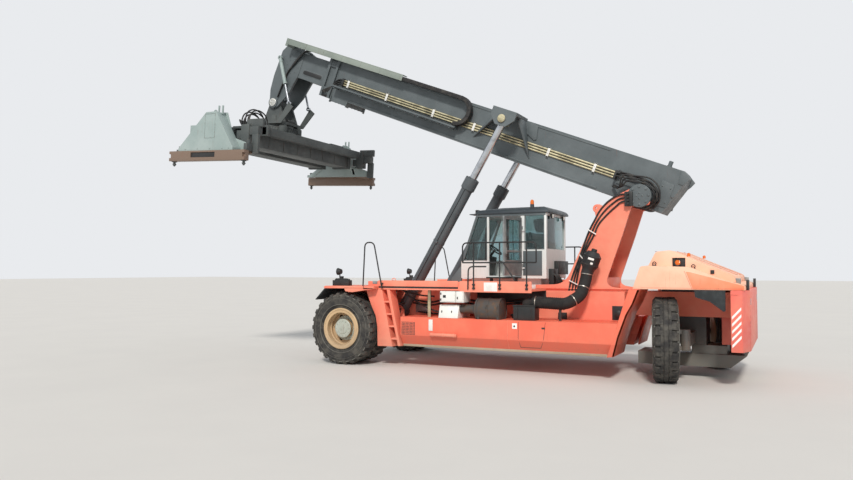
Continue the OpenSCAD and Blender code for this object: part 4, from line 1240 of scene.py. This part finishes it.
class RS_OT_boom(bpy.types.Operator):
    """Adds the boom's pads, ribs, brackets, gussets, pipe clamps, fittings and hose loops"""
    bl_idname = "reach_stacker.boom"
    bl_label = "Boom"

    def execute(self, context):
        boom = on_boom()
        # The outer tube's half width, floor, roof and front end
        half, w0, w1, out = 430, -190, 790, 8940
        steel = Shape(boom)
        for s, turn in HALVES:
            for w in (w0 + 40, w1 - 220):
                steel.block((out - 262, out - 68), (half - 1, half + 50), (w, w + 160), 6, turn)
                steel.bolts((out - 165, s * (half + 50), w + 80), (0, s, 0), 52, 4, 13, 11, math.pi / 4)
            steel.blocks([
                (1000, out - 1000, half - 1, half + 14, w0 + 30, w0 + 70, 4),
                (1000, out - 1000, half - 1, half + 12, w1 - 70, w1 - 40, 4)], turn)
            steel.prism([(2780, 760), (2700, 440), (2760, 410), (3100, 560), (3100, 788)],
                        (half - 2, half + 30), 4, turn)
            # Box of the rod's bracket
            steel.block((3080, 3320), (half - 2, 1178), (760, 792), 5, turn)
            steel.prism([(3090, 790), (3100, 620), (3250, 560), (3250, 790)], (half, half + 24), 4, turn)
            steel.prism([(3690, 790), (3680, 620), (3530, 560), (3530, 790)], (half, half + 24), 4, turn)
            for top, foot, low in ((3672, 4240, 20), (3096, 2704, -30)):
                corners = ((top, 840, 786, 24), (top, 840, 660, 24), (top, half + 2, 786, 24),
                           (foot, half + 2, low, 26))
                steel.hull([(u + du, y, w) for u, y, w, wide in corners for du in (0, wide)], 4, turn)
            for u in (out - 928, out - 378):
                steel.block((u, u + 28), (half - 30, half + 30), (w0 - 140, w0 + 30), 4, turn)
            for u in between(out - 870, out - 410, 5):
                steel.bolts((u, s * 400, w0 - 110), (0, 0, -1))
            # Brackets and lip of the chain's tray
            if s > 0:
                for u in range(4800, 8500, 900):
                    steel.block((u, u + 40), (half - 1, half + 260), (40, 61), 4)
                steel.block((4700, 8500), (half + 252, half + 260), (60, 120), 3)
            # Tail flange
            steel.prism([(-700, 500), (-740, 560), (-790, 680), (-630, 790), (-560, 790), (-600, 500)],
                        (half - 4, half + 16), 4, turn)
            steel.prism([(-560, -60), (-540, 460), (-270, 480), (-250, -80)], (half, half + 14), 4, turn)
            steel.bolts((-405, s * (half + 14), 200), (0, s, 0), 180, 6, 15, 12)
        steel.turned([(0, 60), (26, 60), (30, 46), (130, 46), (134, 38), (134, 0)], (-260, 200, w1), Z)
        steel.done("boom_trim", "boom_grey", "boom")

        pins = Shape(boom)
        for s in (1, -1):
            pins.turned([(0, 92), (14, 92), (20, 84), (20, 0)], (3384, s * 1200, 607), (0, s, 0), 40)
            pins.bolts((3384, s * 1218, 607), (0, s, 0), 58, 4, 12, 9)
        pins.done("lift_eye_caps", "pipe_zinc", "boom")

        clamps = Shape(boom)
        for s, turn in HALVES:
            for u in (1190, 2320, 4300, 5470, 6900, 8150):
                clamps.block((u - 30, u + 30), (474, 484), (150, 370), 3, turn)
                for w in (150, 350):
                    clamps.block((u - 30, u + 30), (430, 484), (w, w + 20), 3, turn)
                for w in (230, 290):
                    clamps.bolts((u, s * 484, w), (0, s, 0), head=8)
        clamps.done("pipe_clamps", "box_white", "boom")

        blocks = Shape(boom)
        blocks.blocks([(650, 698, 431, 620, 160, 362, 6), (350, 410, 431, 620, -275, -150, 6)])
        for s, turn in HALVES:
            blocks.block((8300, 8360), (431, 500), (160, 362), 5, turn)
        for i in range(4):
            for u, w in ((652, 360 - i * 14), (352, -240)):
                blocks.turned([(0, 26), (30, 26), (34, 20), (60, 20)], (u, 468 + i * 42, w), (-1, 0, 0), 18)
        blocks.done("boom_manifolds", "black_steel", "boom")

        runs = []
        for i in range(3):
            r, y = 290 + 62 * i, 740 + 12 * i
            runs.append([(650, 500, 40 - 20 * i), (430 + 20 * i, y - 60, 60 - 10 * i),
                         (r + 60, y, 60 + r * 0.5), (r * 0.6, y, r * 0.86), (-r * 0.5, y, r * 0.9),
                         (-r, y - 30, r * 0.2), (-r * 0.8, 560, -150)])
        for i in range(0, 5, 2):
            y, top = 466 + i * 36, 350 - i * 26
            runs.append([(640, y, top), (300, y, top + 26), (-60, y + 12, top - 6), (-300, y + 18, top - 150),
                         (-360 + 14 * i, y + 10, 40 - 12 * i), (-250, y, -180 + 6 * i), (20, y, -252 + 4 * i),
                         (352, y, -240)])
        for s in (1, -1):
            for i, w in enumerate((200, 260, 320)):
                y = s * (452 + 4 * i)
                runs.append([(8360, y, w), (8480, y, w - 20), (8600, s * 474, w - 120 - 20 * i),
                             (8690, s * 492, 20 - 40 * i), (8800, s * 500, -60 - 30 * i),
                             (8905, s * 470, -120)])
        hoses("boom_hose_loops", runs, 17, "black_rubber", "boom", boom)
        return {"FINISHED"}


class RS_OT_head(bpy.types.Operator):
    """Adds the energy chain's links, the boom head's plates, lamps and hoses, and the cylinders' trim"""
    bl_idname = "reach_stacker.head"
    bl_label = "Boom head and chain"

    def execute(self, context):
        boom = on_boom()
        links = Shape(boom)
        # The chain's width and the pitch of its links
        wide, pitch = (486, 654), 52
        for k in range(28):
            a = math.radians(90 + 180 * (k + 0.5) / 28)
            links.block((270, 366), wide, (-14, 14), 4, spin(-a, "Y", (4800, 0, 498)))
        for u in range(4830, 9000, pitch):
            links.block((u, u + 30), wide, (768, 864), 4)
        links.done("chain_links_moving", "black_rubber", "chain_loop")
        links = Shape(boom)
        for u in range(4810, 8390, pitch):
            links.block((u, u + 30), wide, (82, 136), 4)
        links.done("chain_links_fixed", "black_rubber", "boom")

        side = Shape(boom)
        side.block((6522, 10398), (662, 669), (752, 892), 3)
        for u in range(6600, 10400, 620):
            side.block((u, u + 40), (668, 673), (756, 888), 2)
        side.done("chain_cover_side", "cover_grey", "inner_boom")

        head = Shape(boom)
        for s, turn in HALVES:
            head.turned([(0, 82), (0, 150), (20, 150), (25, 144), (25, 82)], (10450, s * 359, -870),
                        (0, s, 0), 48, closed=True)
            head.prism([(9100, 130), (9100, 250), (9160, 270), (9740, 270), (9800, 250), (9800, 130),
                        (9740, 110), (9160, 110)], (359, 362), 1, turn)
            head.prism([(9900, 60), (9900, 620), (10200, 700), (10420, 400), (10300, -200), (10000, -300)],
                       (359, 372), 4, turn)
            head.bolts((10180, s * 372, 250), (0, s, 0), 200, 8, 14, 12)
        head.prism([(10600, 680), (10670, 560), (10700, -160), (10670, -400), (10630, -400), (10660, -160),
                    (10630, 540), (10570, 660)], (-301, 301), 4)
        head.block((10180, 10300), (-300, 300), (740, 781), 5)
        head.done("head_plates", "boom_grey", "inner_boom")
        # Dark plates inside the slots' raised rims: painted shade in the openings of the tube
        slot = Shape(boom)
        for _, turn in HALVES:
            slot.prism([(9130, 160), (9130, 220), (9170, 245), (9730, 245), (9770, 220), (9770, 160),
                        (9730, 135), (9170, 135)], (361, 364), 0.5, turn)
        slot.done("inner_tube_slot_shade", "black_steel", "inner_boom")

        lamp = Shape(boom)
        for s, turn in HALVES:
            lamp.blocks([(10200, 10260, 60, 120, 778, 870, 5), (10190, 10290, 50, 170, 866, 948, 12)], turn)
        lamp.turned([(0, 70), (60, 80), (64, 80), (64, 0)], (10420, 200, 700), (0.5, 0, 1))
        lamp.done("head_lamps", "black_steel", "inner_boom")
        lens = Shape(boom)
        lens.block((10288, 10296), (58, 162), (876, 938), 6)
        lens.done("head_lamp_lenses", "lamp_lens", "inner_boom", both=True)

        # Hoses from the end of the chain over the head and down to the rotator's level
        runs = []
        for i in range(5):
            y = 480 + 26 * i
            runs.append([(9000, y, 800), (9300, y, 812 - 6 * i), (9700, y - 20, 760),
                         (9950, 400 + 14 * i, 650 - 20 * i), (10120, 392 + 8 * i, 420 - 30 * i),
                         (10240, 388 + 8 * i, 60), (10300, 390 + 8 * i, -420), (10330, 388 + 6 * i, -700)])
        for i in range(3):
            runs.append([(9980, -380, 300 - 60 * i), (10140, -404, 200 - 60 * i), (10260, -400, -200),
                         (10300, -392, -640)])
        hoses("head_hoses", runs, 15, "black_rubber", "inner_boom", boom)

        for side, sign, turn in SIDES:
            lift = on_lift(side)
            gland = Shape(lift)
            gland.bolts((0, 0, 3600), Z, 142, 12, 14, 12)
            gland.turned([(3600, 86), (3600, 108), (3624, 104), (3624, 86)], closed=True)
            for far, out, wide in ((3320, 150, 22), (1900, 142, 46), (820, 142, 46)):
                gland.band((0, 0, far), Z, 134, out, wide)
            for far in (1895, 815):
                gland.block((-40, 40), (130, 176), (far, far + 55), 5, turn)
            gland.done("lift_gland_%s" % side, "cylinder_grey", "lift_barrel_%s" % side)
            y = sign * 158
            hoses("lift_pipe_%s" % side, [[(0, y, 300), (0, y, 3300), (0, sign * 140, 3380)],
                                          [(0, y, 300), (-30, y, 220), (-90, sign * 140, 190)]], 14,
                  "cylinder_grey", "lift_barrel_%s" % side, lift, bend=60)
        return {"FINISHED"}


class RS_OT_cab(bpy.types.Operator):
    """Builds the cab's body, roof, gaskets, panes, controls and lamps, and the door's frame and pane"""
    bl_idname = "reach_stacker.cab"
    bl_label = "Cab"

    def execute(self, context):
        body = Shape()
        body.prism([(-2510, 2020), (-2510, 2410), (-2900, 3500), (-4580, 3500), (-4580, 2020)], (-770, 770),
                   8)
        hollow = Shape()
        hollow.prism([(-2556, 2066), (-2556, 2418), (-2930, 3455), (-4535, 3455), (-4535, 2066)], (-725, 725),
                     1)
        screen = ((2450, 90), (3440, 90), (3440, -90), (2450, -90))
        hollow.prism([(screen_x(z) + out, z) for z, out in screen], (-700, 700), 1)
        hollow.prism([(-3980, 2080), (-3980, 3440), (-3210, 3440), (-3210, 2080)], (700, 800), 1)
        hollow.prism([(-3980, 2445), (-3980, 3440), (-3230, 3440), (-3230, 2445)], (-800, -700), 1)
        for y in ((700, 800), (-800, -700)):
            hollow.prism([(-2575, 2445), (-3150, 2445), (-3150, 3440), (-2930, 3440)], y, 1)
            hollow.prism([(-4520, 2690), (-4520, 3440), (-4090, 3440), (-4090, 2690)], y, 1)
        hollow.block((-4620, -4500), (-690, 690), (2690, 3440), 1)
        body.cut(hollow)
        body.blocks([(-4640, -2960, -798, 798, 3499, 3532, 4), (-4400, -2700, -600, 600, 1760, 2021, 6)])
        for z in (2240, 3090):
            body.block((-4080, -4020), (760, 812), (z, z + 30), 4)
            body.turned([(0, 0), (0, 12), (120, 12), (120, 0)], (-4020, 800, z), Z, 20)
        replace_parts(body.done("cab_body", "cab_white"), "cab_shell")

        # Rings of the roof cap: how far in from the sides and back, how far in from the front, height
        front, rear, half = -2888, -4646, 803
        rings = ((0, 0, 3497), (0, 0, 3540), (40, 60, 3592), (150, 620, 3640))
        roof = Shape()
        roof.hull([(x, s * (half - inset), z) for inset, back, z in rings
                   for x in (rear + inset, front - back) for s in (1, -1)], 8)
        roof.block((-2900, -2705), (-730, 730), (3502, 3522), 5)
        roof.turned([(0, 46), (80, 46), (90, 38), (90, 0)], (-4200, 600, 3618), Z, 24)
        roof.done("cab_roof_cap", "roof_slate")

        frames = Shape()
        for s, turn in HALVES:
            frames.window((-4520, -4090), (2690, 3440), (764, 776), 16, turn)
            # The dark front post, top rail and sill of the big pane beside the driver
            frames.prism([(-2514, 2412), (-2900, 3490), (-2960, 3490), (-2936, 3440), (-2582, 2445),
                          (-2582, 2412)], (766, 778), 3, turn)
            frames.blocks([
                (-4570, -2940, 766, 778, 3441, 3496, 3), (-3166, -3150, 766, 776, 2430, 3442, 3),
                (-3152, -2560, 766, 776, 2430, 2446, 3), (-4482, -4040, 768, 783, 2090, 2640, 5)], turn)
        frames.window((-3980, -3230), (2445, 3440), (764, 776), 16, MIRROR)
        lean = [(screen_x(z) + out, z) for z, out in ((2412, 6), (3490, 6), (3490, -12), (2412, -12))]
        for y in (-764, 700):
            frames.prism(lean, (y, y + 64), 3)
        # Wiper, its motor and the seal along the sill of the screen
        frames.bar((screen_x(2440) + 14, -80, 2440), (screen_x(3100) + 16, 240, 3100), 8)
        frames.bar((screen_x(2760) + 18, 60, 2760), (screen_x(3330) + 18, 300, 3330), 6)
        frames.block((-2512, -2492), (-130, -30), (2410, 2470), 4)
        # Hose cover in front of the cab
        frames.prism([(-2250, 1802), (-2250, 2010), (-2490, 2300), (-2508, 2300), (-2508, 1802)], (700, 760),
                     6)
        frames.done("cab_gaskets", "cab_dark")

        panes = Shape()
        for s, turn in HALVES:
            panes.block((-4518, -4092), (744, 750), (2692, 3438), 1, turn)
            panes.prism([(-2578, 2447), (-3148, 2447), (-3148, 3438), (-2933, 3438)], (744, 750), 1, turn)
        panes.block((-3978, -3232), (744, 750), (2447, 3438), 1, MIRROR)
        panes.block((-4566, -4560), (-688, 688), (2692, 3438), 1)
        panes.prism([(screen_x(z) - d, z) for z, d in ((2452, 20), (3438, 20), (3438, 27), (2452, 27))],
                    (-698, 698), 1)
        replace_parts(panes.done("cab_panes", "cab_glass"), "cab_glass")

        inside = Shape()
        inside.prism([(-2700, 2066), (-2700, 2440), (-2810, 2560), (-2950, 2520), (-2860, 2066)], (-420, 420),
                     10)
        column = (-3060, 0, 2700)
        inside.bar((-2900, 0, 2500), column, 30)
        wheel = spin(math.radians(-38), "Y", column)
        inside.torus(column, wheel.to_3x3() @ Vector(Z), 185, 16, 32)
        for k in range(3):
            inside.block((0, 185), (-14, 14), (-8, 8), 3, wheel @ spin(k * 2 * math.pi / 3))
        inside.block((-3950, -3480), (-420, -300), (2066, 2620), 12)
        inside.bar((-3540, -360, 2610), (-3540, -360, 2790), 14)
        inside.turned([(0, 12), (8, 26), (30, 34), (52, 26), (60, 8)], (-3540, -360, 2780), Z, 20)
        inside.block((-3960, -3640), (-180, 180), (2066, 2340), 10)
        inside.done("cab_controls", "black_steel")

        lamps = Shape()
        lens = Shape()
        for y in (-560, -200, 200, 560):
            lamps.blocks([
                (-2880, -2810, y - 60, y + 60, 3522, 3622, 10),
                (-2800, -2760, y - 20, y + 20, 3512, 3540, 4)])
            lens.block((-2813, -2805), (y - 50, y + 50), (3532, 3612), 6)
        for y in (440, -440):
            lamps.block((-4640, -4600), (y - 60, y + 60), (3380, 3480), 8)
            lens.block((-4646, -4638), (y - 50, y + 50), (3390, 3470), 6)
        lamps.done("cab_work_lamps", "black_steel")
        lens.done("cab_lamp_lenses", "lamp_lens")
        beacon = Shape()
        beacon.turned([(0, 44), (60, 42), (96, 30), (110, 0)], (-4200, 600, 3706), Z, 24)
        beacon.done("cab_beacon", "lamp_orange")

        trim = Shape()
        trim.block((-3990, -3200), (768, 930), (2022, 2052), 5)
        for x in (-3900, -3300):
            trim.block((x - 12, x + 12), (768, 920), (1900, 2024), 4)
        trim.blocks([(-4700, -4585, -560, 200, 2110, 2420, 10), (-4700, -4585, 280, 620, 1850, 2240, 10)])
        trim.done("cab_step_and_heater", "black_steel")
        grab = [[(-3150, 765, 2450), (-3150, 820, 2450), (-3150, 820, 3180), (-3150, 765, 3180)],
                [(-2560, -765, 2100), (-2560, -820, 2100), (-2560, -820, 2380), (-2560, -765, 2380)]]
        hoses("cab_grab_rails", grab, 12, "black_steel", bend=40)
        runs = []
        for i in range(5):
            y = 320 + 70 * i
            runs.append([(-4590, y, 2150 - 20 * i), (-4690, y, 2120), (-4780, y - 20, 1990 - 10 * i),
                         (-4800, y - 60, 1880), (-4790, y - 80, 1802)])
        hoses("cab_rear_hoses", runs, 17, "black_rubber")

        door = on_door()
        leaf = Shape(door)
        leaf.window((110, 730), (2430, 3320), (-30, 30), 26)
        leaf.blocks([
            (112, 728, -18, 18, 2602, 2648, 5), (735, 775, 22, 52, 2560, 2700, 6),
            (735, 775, -40, -22, 2560, 2640, 6)])
        leaf.done("door_frame_trim", "door_frame", "cab_door")
        Shape(door).block((112, 728), (-4, 3), (2432, 3318), 1).done("door_pane", "cab_glass", "cab_door")
        return {"FINISHED"}


def screen_x(z):
    """Outside of the cab's leaning front wall at that height."""
    return -2510 - 390 * (z - 2410) / 1090


class RS_OT_seat(bpy.types.Operator):
    """Builds the driver's seat as crowned cushions"""
    bl_idname = "reach_stacker.seat"
    bl_label = "Seat"

    def execute(self, context):
        s = context.scene.reach_stacker_seat
        seat = Shape()
        seat.cushion((570, 520, 150), s.crown, Matrix.Translation((-3770, 0, 2420)))
        lean = Matrix.Rotation(math.radians(-80), 4, "Y")
        seat.cushion((600, 500, 110), s.crown, Matrix.Translation((-4085, 0, 2790)) @ lean)
        seat.cushion((240, 280, 90), s.crown * 0.7, Matrix.Translation((-4140, 0, 3210)) @ lean)
        obj = seat.done("driver_seat", "seat_fabric", crease=80)
        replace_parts(obj, "cab_seat")
        return {"FINISHED"}


class RS_OT_spreader(bpy.types.Operator):
    """Builds the spreader's frame, end beams, gables, locks and hoses, and trims the rotator and hanger"""
    bl_idname = "reach_stacker.spreader"
    bl_label = "Spreader"

    def execute(self, context):
        where = on_spreader()
        tubes = Shape(where)
        hollow = Shape(where)
        for x in (-700, 200):
            tubes.block((x, x + 500), (-2300, 2300), (600, 1050), 8)
            for y in (-2300, 2180):
                tubes.block((x - 40, x + 540), (y, y + 120), (560, 1090), 8)
            hollow.block((x + 20, x + 480), (-2320, 2320), (620, 1030), 1)
        tubes.cut(hollow)
        for y in (-1900, -600, 400, 1700):
            tubes.block((-201, 201), (y, y + 200), (700, 1000), 6)
        # Chain rail behind on its brackets, valve cabinet, hose drums and slide rails
        tubes.blocks([(-1000, -760, -2400, 2000, 900, 1100, 8), (-1050, -730, 1940, 2000, 870, 1140, 6)])
        for y in (-1900, -300, 1300):
            tubes.block((-761, -699), (y, y + 180), (920, 1040), 4)
        tubes.block((-560, -120), (-2150, -1500), (1049, 1235), 10)
        for y in (1700, -1800):
            tubes.turned([(0, 165), (16, 170), (24, 120), (96, 120), (104, 170), (120, 165)],
                               (420, y, 1050), Z)
        for y in between(-2200, 2200, 12):
            for x in (-640, -260, 260, 640):
                tubes.bolts((x, y, 1050), Z, 0, 1, 13)
        for y in between(-2100, 2100, 8):
            tubes.blocks([
                (690, 712, y - 14, y + 14, 640, 1010, 4), (-712, -690, y - 14, y + 14, 640, 1010, 4)])
        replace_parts(tubes.done("spreader_tubes", "spreader_dark", "spreader_frame"), "spreader_frame")
        runs = []
        for i, (x, top) in enumerate(((-640, 1500), (-580, 1440), (-520, 1530), (-460, 1410), (-400, 1470))):
            runs.append([(x, 1560, 1051), (x, 1570, top - 130), (x, 1720, top), (x, 2060, top),
                         (x, 2220, top - 150), (x, 2230, 1051)])
            runs.append([(x + 120, 2240 - 60 * i, 1051), (x + 160, 2140, 1180 + 20 * i),
                         (x + 260, 1900, 1210), (x + 330, 1620, 1150), (x + 340, 1480, 1052)])
            runs.append([(560 - 40 * i, -1470, 1052), (520 - 40 * i, -1620, 1180 + 15 * i),
                         (380, -1840, 1190), (360, -2020 - 20 * i, 1140), (360, -2140, 1060)])
        hoses("spreader_hose_bundles", runs, 18, "black_rubber", "spreader_frame", where)

        for side, sign, turn in SIDES:
            end = Shape(where)
            slots = Shape(where)
            end.block((-1219, 1219), (2859, 3029), (122, 370), 8, turn)
            end.prism([(940, 369), (940, 440), (70, 1320), (-250, 1330), (-830, 440), (-830, 369)],
                      (2700, 3009), 10, turn)
            slots.block((-290, 500), (3005, 3040), (205, 330), 8, turn)
            for c in (-1219, 1219):
                slots.block((c - 60, c + 60), (2975, 3040), (200, 300), 4, turn)
            end.cut(slots)
            x = 225 if sign > 0 else -675
            ends = (-1500, 2900) if sign > 0 else (-2900, 1500)
            end.block((x, x + 450), ends, (621, 1029), 6)
            # Hatch outline, lifting eyes and gussets on the gable
            end.window((-230, 80), (690, 1270), (3004, 3016), 14, turn)
            end.prism([(-150, 1300), (-160, 1360), (-340, 1350), (-680, 440), (-600, 440)], (2684, 2702), 4,
                      turn)
            end.prism([(-500, 750), (-1150, 540), (-1160, 300), (-620, 369)], (2684, 2730), 5, turn)
            end.prism([(640, 700), (1160, 372), (900, 372), (560, 620)], (2684, 2730), 5, turn)
            for px in (-300, -180):
                end.bar((px, sign * 2830, 1290), (px, sign * 2830, 1500), 24)
            end.torus((-90, sign * 2850, 1350), Y, 40, 14)
            for px in (-700, -500, -100, 300, 700):
                end.bolts((px, sign * 3009, 420), (0, sign, 0), 0, 1, 15, 12)
            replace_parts(end.done("spreader_gable_%s" % side, "spreader_end", "spreader_end_%s" % side),
                        "spreader_end_%s" % side)

            dark = Shape(where)
            dark.blocks([
                (-1200, -1100, 2684, 2929, 371, 540, 8), (-1050, -800, 2509, 2709, 620, 1040, 10),
                (-900, -640, 2549, 2684, 700, 900, 10), (-1320, -1049, 2529, 2689, 780, 980, 10),
                (-1340, -1150, 2629, 2704, 330, 790, 8), (-1400, -900, 2549, 2629, 979, 1180, 12)], turn)
            dark.bar((-1130, sign * 2800, 540), (-1130, sign * 2800, 640), 52)
            dark.bar((1060, sign * 2800, 372), (1060, sign * 2800, 520), 52)
            dark.block((960, 1160), (2720, 2850), (371, 440), 8, turn)
            for px in (-1130, 1130):
                dark.turned([(0, 14), (10, 22), (56, 50), (62, 50), (66, 32), (124, 32)],
                            (px, sign * 2926, 0), Z, 24)
                dark.band((px, sign * 2926, 108), Z, 34, 66, 16)
            dark.done("lock_drives_%s" % side, "spreader_dark", "spreader_end_%s" % side)
            # Dark plate at the bottom of the cut slot: painted shade in the beam's hollow
            slot = Shape(where)
            slot.block((-286, 496), (3004, 3008), (209, 326), 1, turn)
            slot.done("end_beam_slot_shade_%s" % side, "black_steel", "spreader_end_%s" % side)

        # Slewing ring's teeth, rims and motors, and the hanger's pin rings
        drum = Shape(where)
        for k in range(48):
            a = 2 * math.pi * k / 48
            drum.block((552, 584), (-14, 14), (1322, 1398), 4, spin(a, at=(SLEW_X, 0, 0)))
        drum.band((SLEW_X, 0, 1400), Z, 540, 572, 19)
        drum.band((SLEW_X, 0, 1242), Z, 540, 590, 30)
        for x, y in ((-180, 330), (-180, -330), (720, 330)):
            drum.turned([(0, 110), (20, 120), (200, 120), (220, 92), (300, 88), (310, 60)], (x, y, 1240), Z,
                        32)
        for x in (-290, 790):
            for y in between(-440, 440, 6):
                drum.bolts((x, y, 1140), (math.copysign(1, x), 0, 0), 0, 1, 16, 12)
        drum.blocks([(-420, -260, -560, 560, 1080, 1180, 8), (760, 920, -560, 560, 1080, 1180, 8)])
        drum.done("slewing_ring_teeth", "spreader_dark", "rotator")

        pin = where.inverted() @ joint_at("spreader_tilt")
        px, pz = pin.x * 1000, pin.z * 1000
        rings = Shape(where)
        for s in (1, -1):
            rings.turned([(0, 82), (0, 108), (14, 112), (20, 104), (20, 0)], (px, s * 384, pz), (0, s, 0), 40)
            rings.bolts((px, s * 403, pz), (0, s, 0), 60, 6, 13, 10)
        rings.done("tilt_pin_rings", "fitting_zinc", "hanger")
        plate = Shape(where)
        plate.turned([(0, 480), (60, 480), (88, 450), (88, 0)], (SLEW_X, 0, 1421.5), Z, 72)
        plate.bolts((SLEW_X, 0, 1508), Z, 425, 24, 16, 14)
        for s, turn in HALVES:
            plate.prism([(px - 90, 1500), (px + 90, 1500), (px + 70, pz - 340), (px - 70, pz - 340)],
                        (299, 318), 5, turn)
        plate.done("hanger_plate", "spreader_dark", "hanger")
        motor = Shape(where)
        motor.bar((px - 330, -150, 1600), (px - 330, 150, 1600), 70)
        motor.bar((px + 300, -120, 1590), (px + 300, 180, 1590), 62)
        motor.done("hanger_motors", "black_steel", "hanger")

        # Glands and collars of the tilt dampers
        for s in (1, -1):
            damper = Shape(on_damper(s))
            damper.band((0, 0, 735), Z, 48, 62, 44)
            damper.bolts((0, 0, 778), Z, 54, 4, 6, 6)
            damper.band((0, 0, 100), Z, 48, 57, 30)
            damper.done("damper_gland_%s" % ("left" if s > 0 else "right"), "spreader_grey", "damper_barrels")
        return {"FINISHED"}


class RS_OT_stage(bpy.types.Operator):
    """Places the camera, the floor and the soft studio light"""
    bl_idname = "reach_stacker.stage"
    bl_label = "Stage"

    def execute(self, context):
        settings = context.scene.reach_stacker_stage
        scene = context.scene
        # Camera at the photograph's place, in the row frame
        camera = bpy.data.objects.new("camera", bpy.data.cameras.new("camera"))
        scene.collection.objects.link(camera)
        scene.camera = camera
        camera.data.sensor_width = 36.0
        camera.data.lens = settings.lens
        eye, yaw, pitch, roll = (-7.3465, 16.273, 2.219), 0.468, 0.041, 0.001
        ahead = Vector((math.sin(yaw) * math.cos(pitch), -math.cos(yaw) * math.cos(pitch), math.sin(pitch)))
        camera.rotation_mode = "QUATERNION"
        rolled = Matrix.Rotation(roll, 3, "Z").to_quaternion()
        camera.rotation_quaternion = ahead.to_track_quat("-Z", "Y") @ rolled
        camera.location = eye
        camera.data.clip_end = 500

        floor_mat, bsdf, coord = new_material("floor_plain", {"Roughness": 0.9})
        link(floor_mat, mix(floor_mat, noise(floor_mat, coord, 2.0), settings.floor_colour, "#dedbd6"),
             bsdf, "Base Color")
        mesh = bpy.data.meshes.new("floor")
        far = 150.0
        mesh.from_pydata([(-far, -far, 0), (far, -far, 0), (far, far, 0), (-far, far, 0)], [], [(0, 1, 2, 3)])
        mesh.materials.append(floor_mat)
        floor = bpy.data.objects.new("floor", mesh)
        scene.collection.objects.link(floor)

        world = bpy.data.worlds.new("studio")
        scene.world = world
        world.use_nodes = True
        light = world.node_tree.nodes["Background"]
        light.inputs["Color"].default_value = linear("#e8edf2")
        light.inputs["Strength"].default_value = settings.sky_power
        # Pale backdrop at full strength wherever the camera, a mirror or glass sees past the floor
        rays = add(world, "ShaderNodeLightPath").outputs
        seen = rays["Is Camera Ray"]
        for kind in ("Is Glossy Ray", "Is Transmission Ray"):
            seen = add(world, "ShaderNodeMath", {0: seen, 1: rays[kind]}, operation="MAXIMUM").outputs[0]
        pale = add(world, "ShaderNodeBackground", {"Color": "#e9ebee", "Strength": 1.0})
        both = add(world, "ShaderNodeMixShader", {0: seen, 1: light.outputs[0], 2: pale.outputs[0]})
        world.node_tree.links.new(both.outputs[0], world.node_tree.nodes["World Output"].inputs["Surface"])

        # The photograph's sun stands high behind the camera's left shoulder
        sun = bpy.data.objects.new("sun", bpy.data.lights.new("sun", "SUN"))
        sun.data.energy = settings.sun_power
        sun.data.angle = math.radians(8)
        sun.data.color = (1.0, 0.96, 0.9)
        sun.rotation_mode = "QUATERNION"
        sun.rotation_quaternion = Vector((0.25, -0.75, -0.62)).to_track_quat("-Z", "Y")
        scene.collection.objects.link(sun)
        scene.view_settings.view_transform = "Standard"
        return {"FINISHED"}


class RS_PT_panel(bpy.types.Panel):
    """Lists the steps that build the looks, and their settings"""
    bl_label = "Reach stacker"
    bl_idname = "RS_PT_panel"
    bl_space_type = "VIEW_3D"
    bl_region_type = "UI"
    bl_category = "Reach stacker"

    def draw(self, context):
        for op in OPERATORS:
            self.layout.operator(op.bl_idname)
        for name, group in SETTINGS.items():
            for key in group.__annotations__:
                self.layout.prop(getattr(context.scene, name), key)


OPERATORS = [RS_OT_paint, RS_OT_wheels, RS_OT_tanks, RS_OT_chassis, RS_OT_decks, RS_OT_rear, RS_OT_bay,
             RS_OT_boom, RS_OT_head, RS_OT_cab, RS_OT_seat, RS_OT_spreader, RS_OT_stage]
SETTINGS = {
    "reach_stacker_paint": PaintSettings, "reach_stacker_wheels": WheelSettings,
    "reach_stacker_seat": SeatSettings, "reach_stacker_stage": StageSettings,
}


def register():
    for name, group in SETTINGS.items():
        bpy.utils.register_class(group)
        setattr(bpy.types.Scene, name, bpy.props.PointerProperty(type=group))
    for cls in OPERATORS + [RS_PT_panel]:
        bpy.utils.register_class(cls)


def unregister():
    for cls in reversed(OPERATORS + [RS_PT_panel]):
        bpy.utils.unregister_class(cls)
    for name, group in SETTINGS.items():
        delattr(bpy.types.Scene, name)
        bpy.utils.unregister_class(group)


def main():
    register()
    for op in OPERATORS:
        area, name = op.bl_idname.split(".")
        getattr(getattr(bpy.ops, area), name)()


if __name__ == "__main__":
    main()
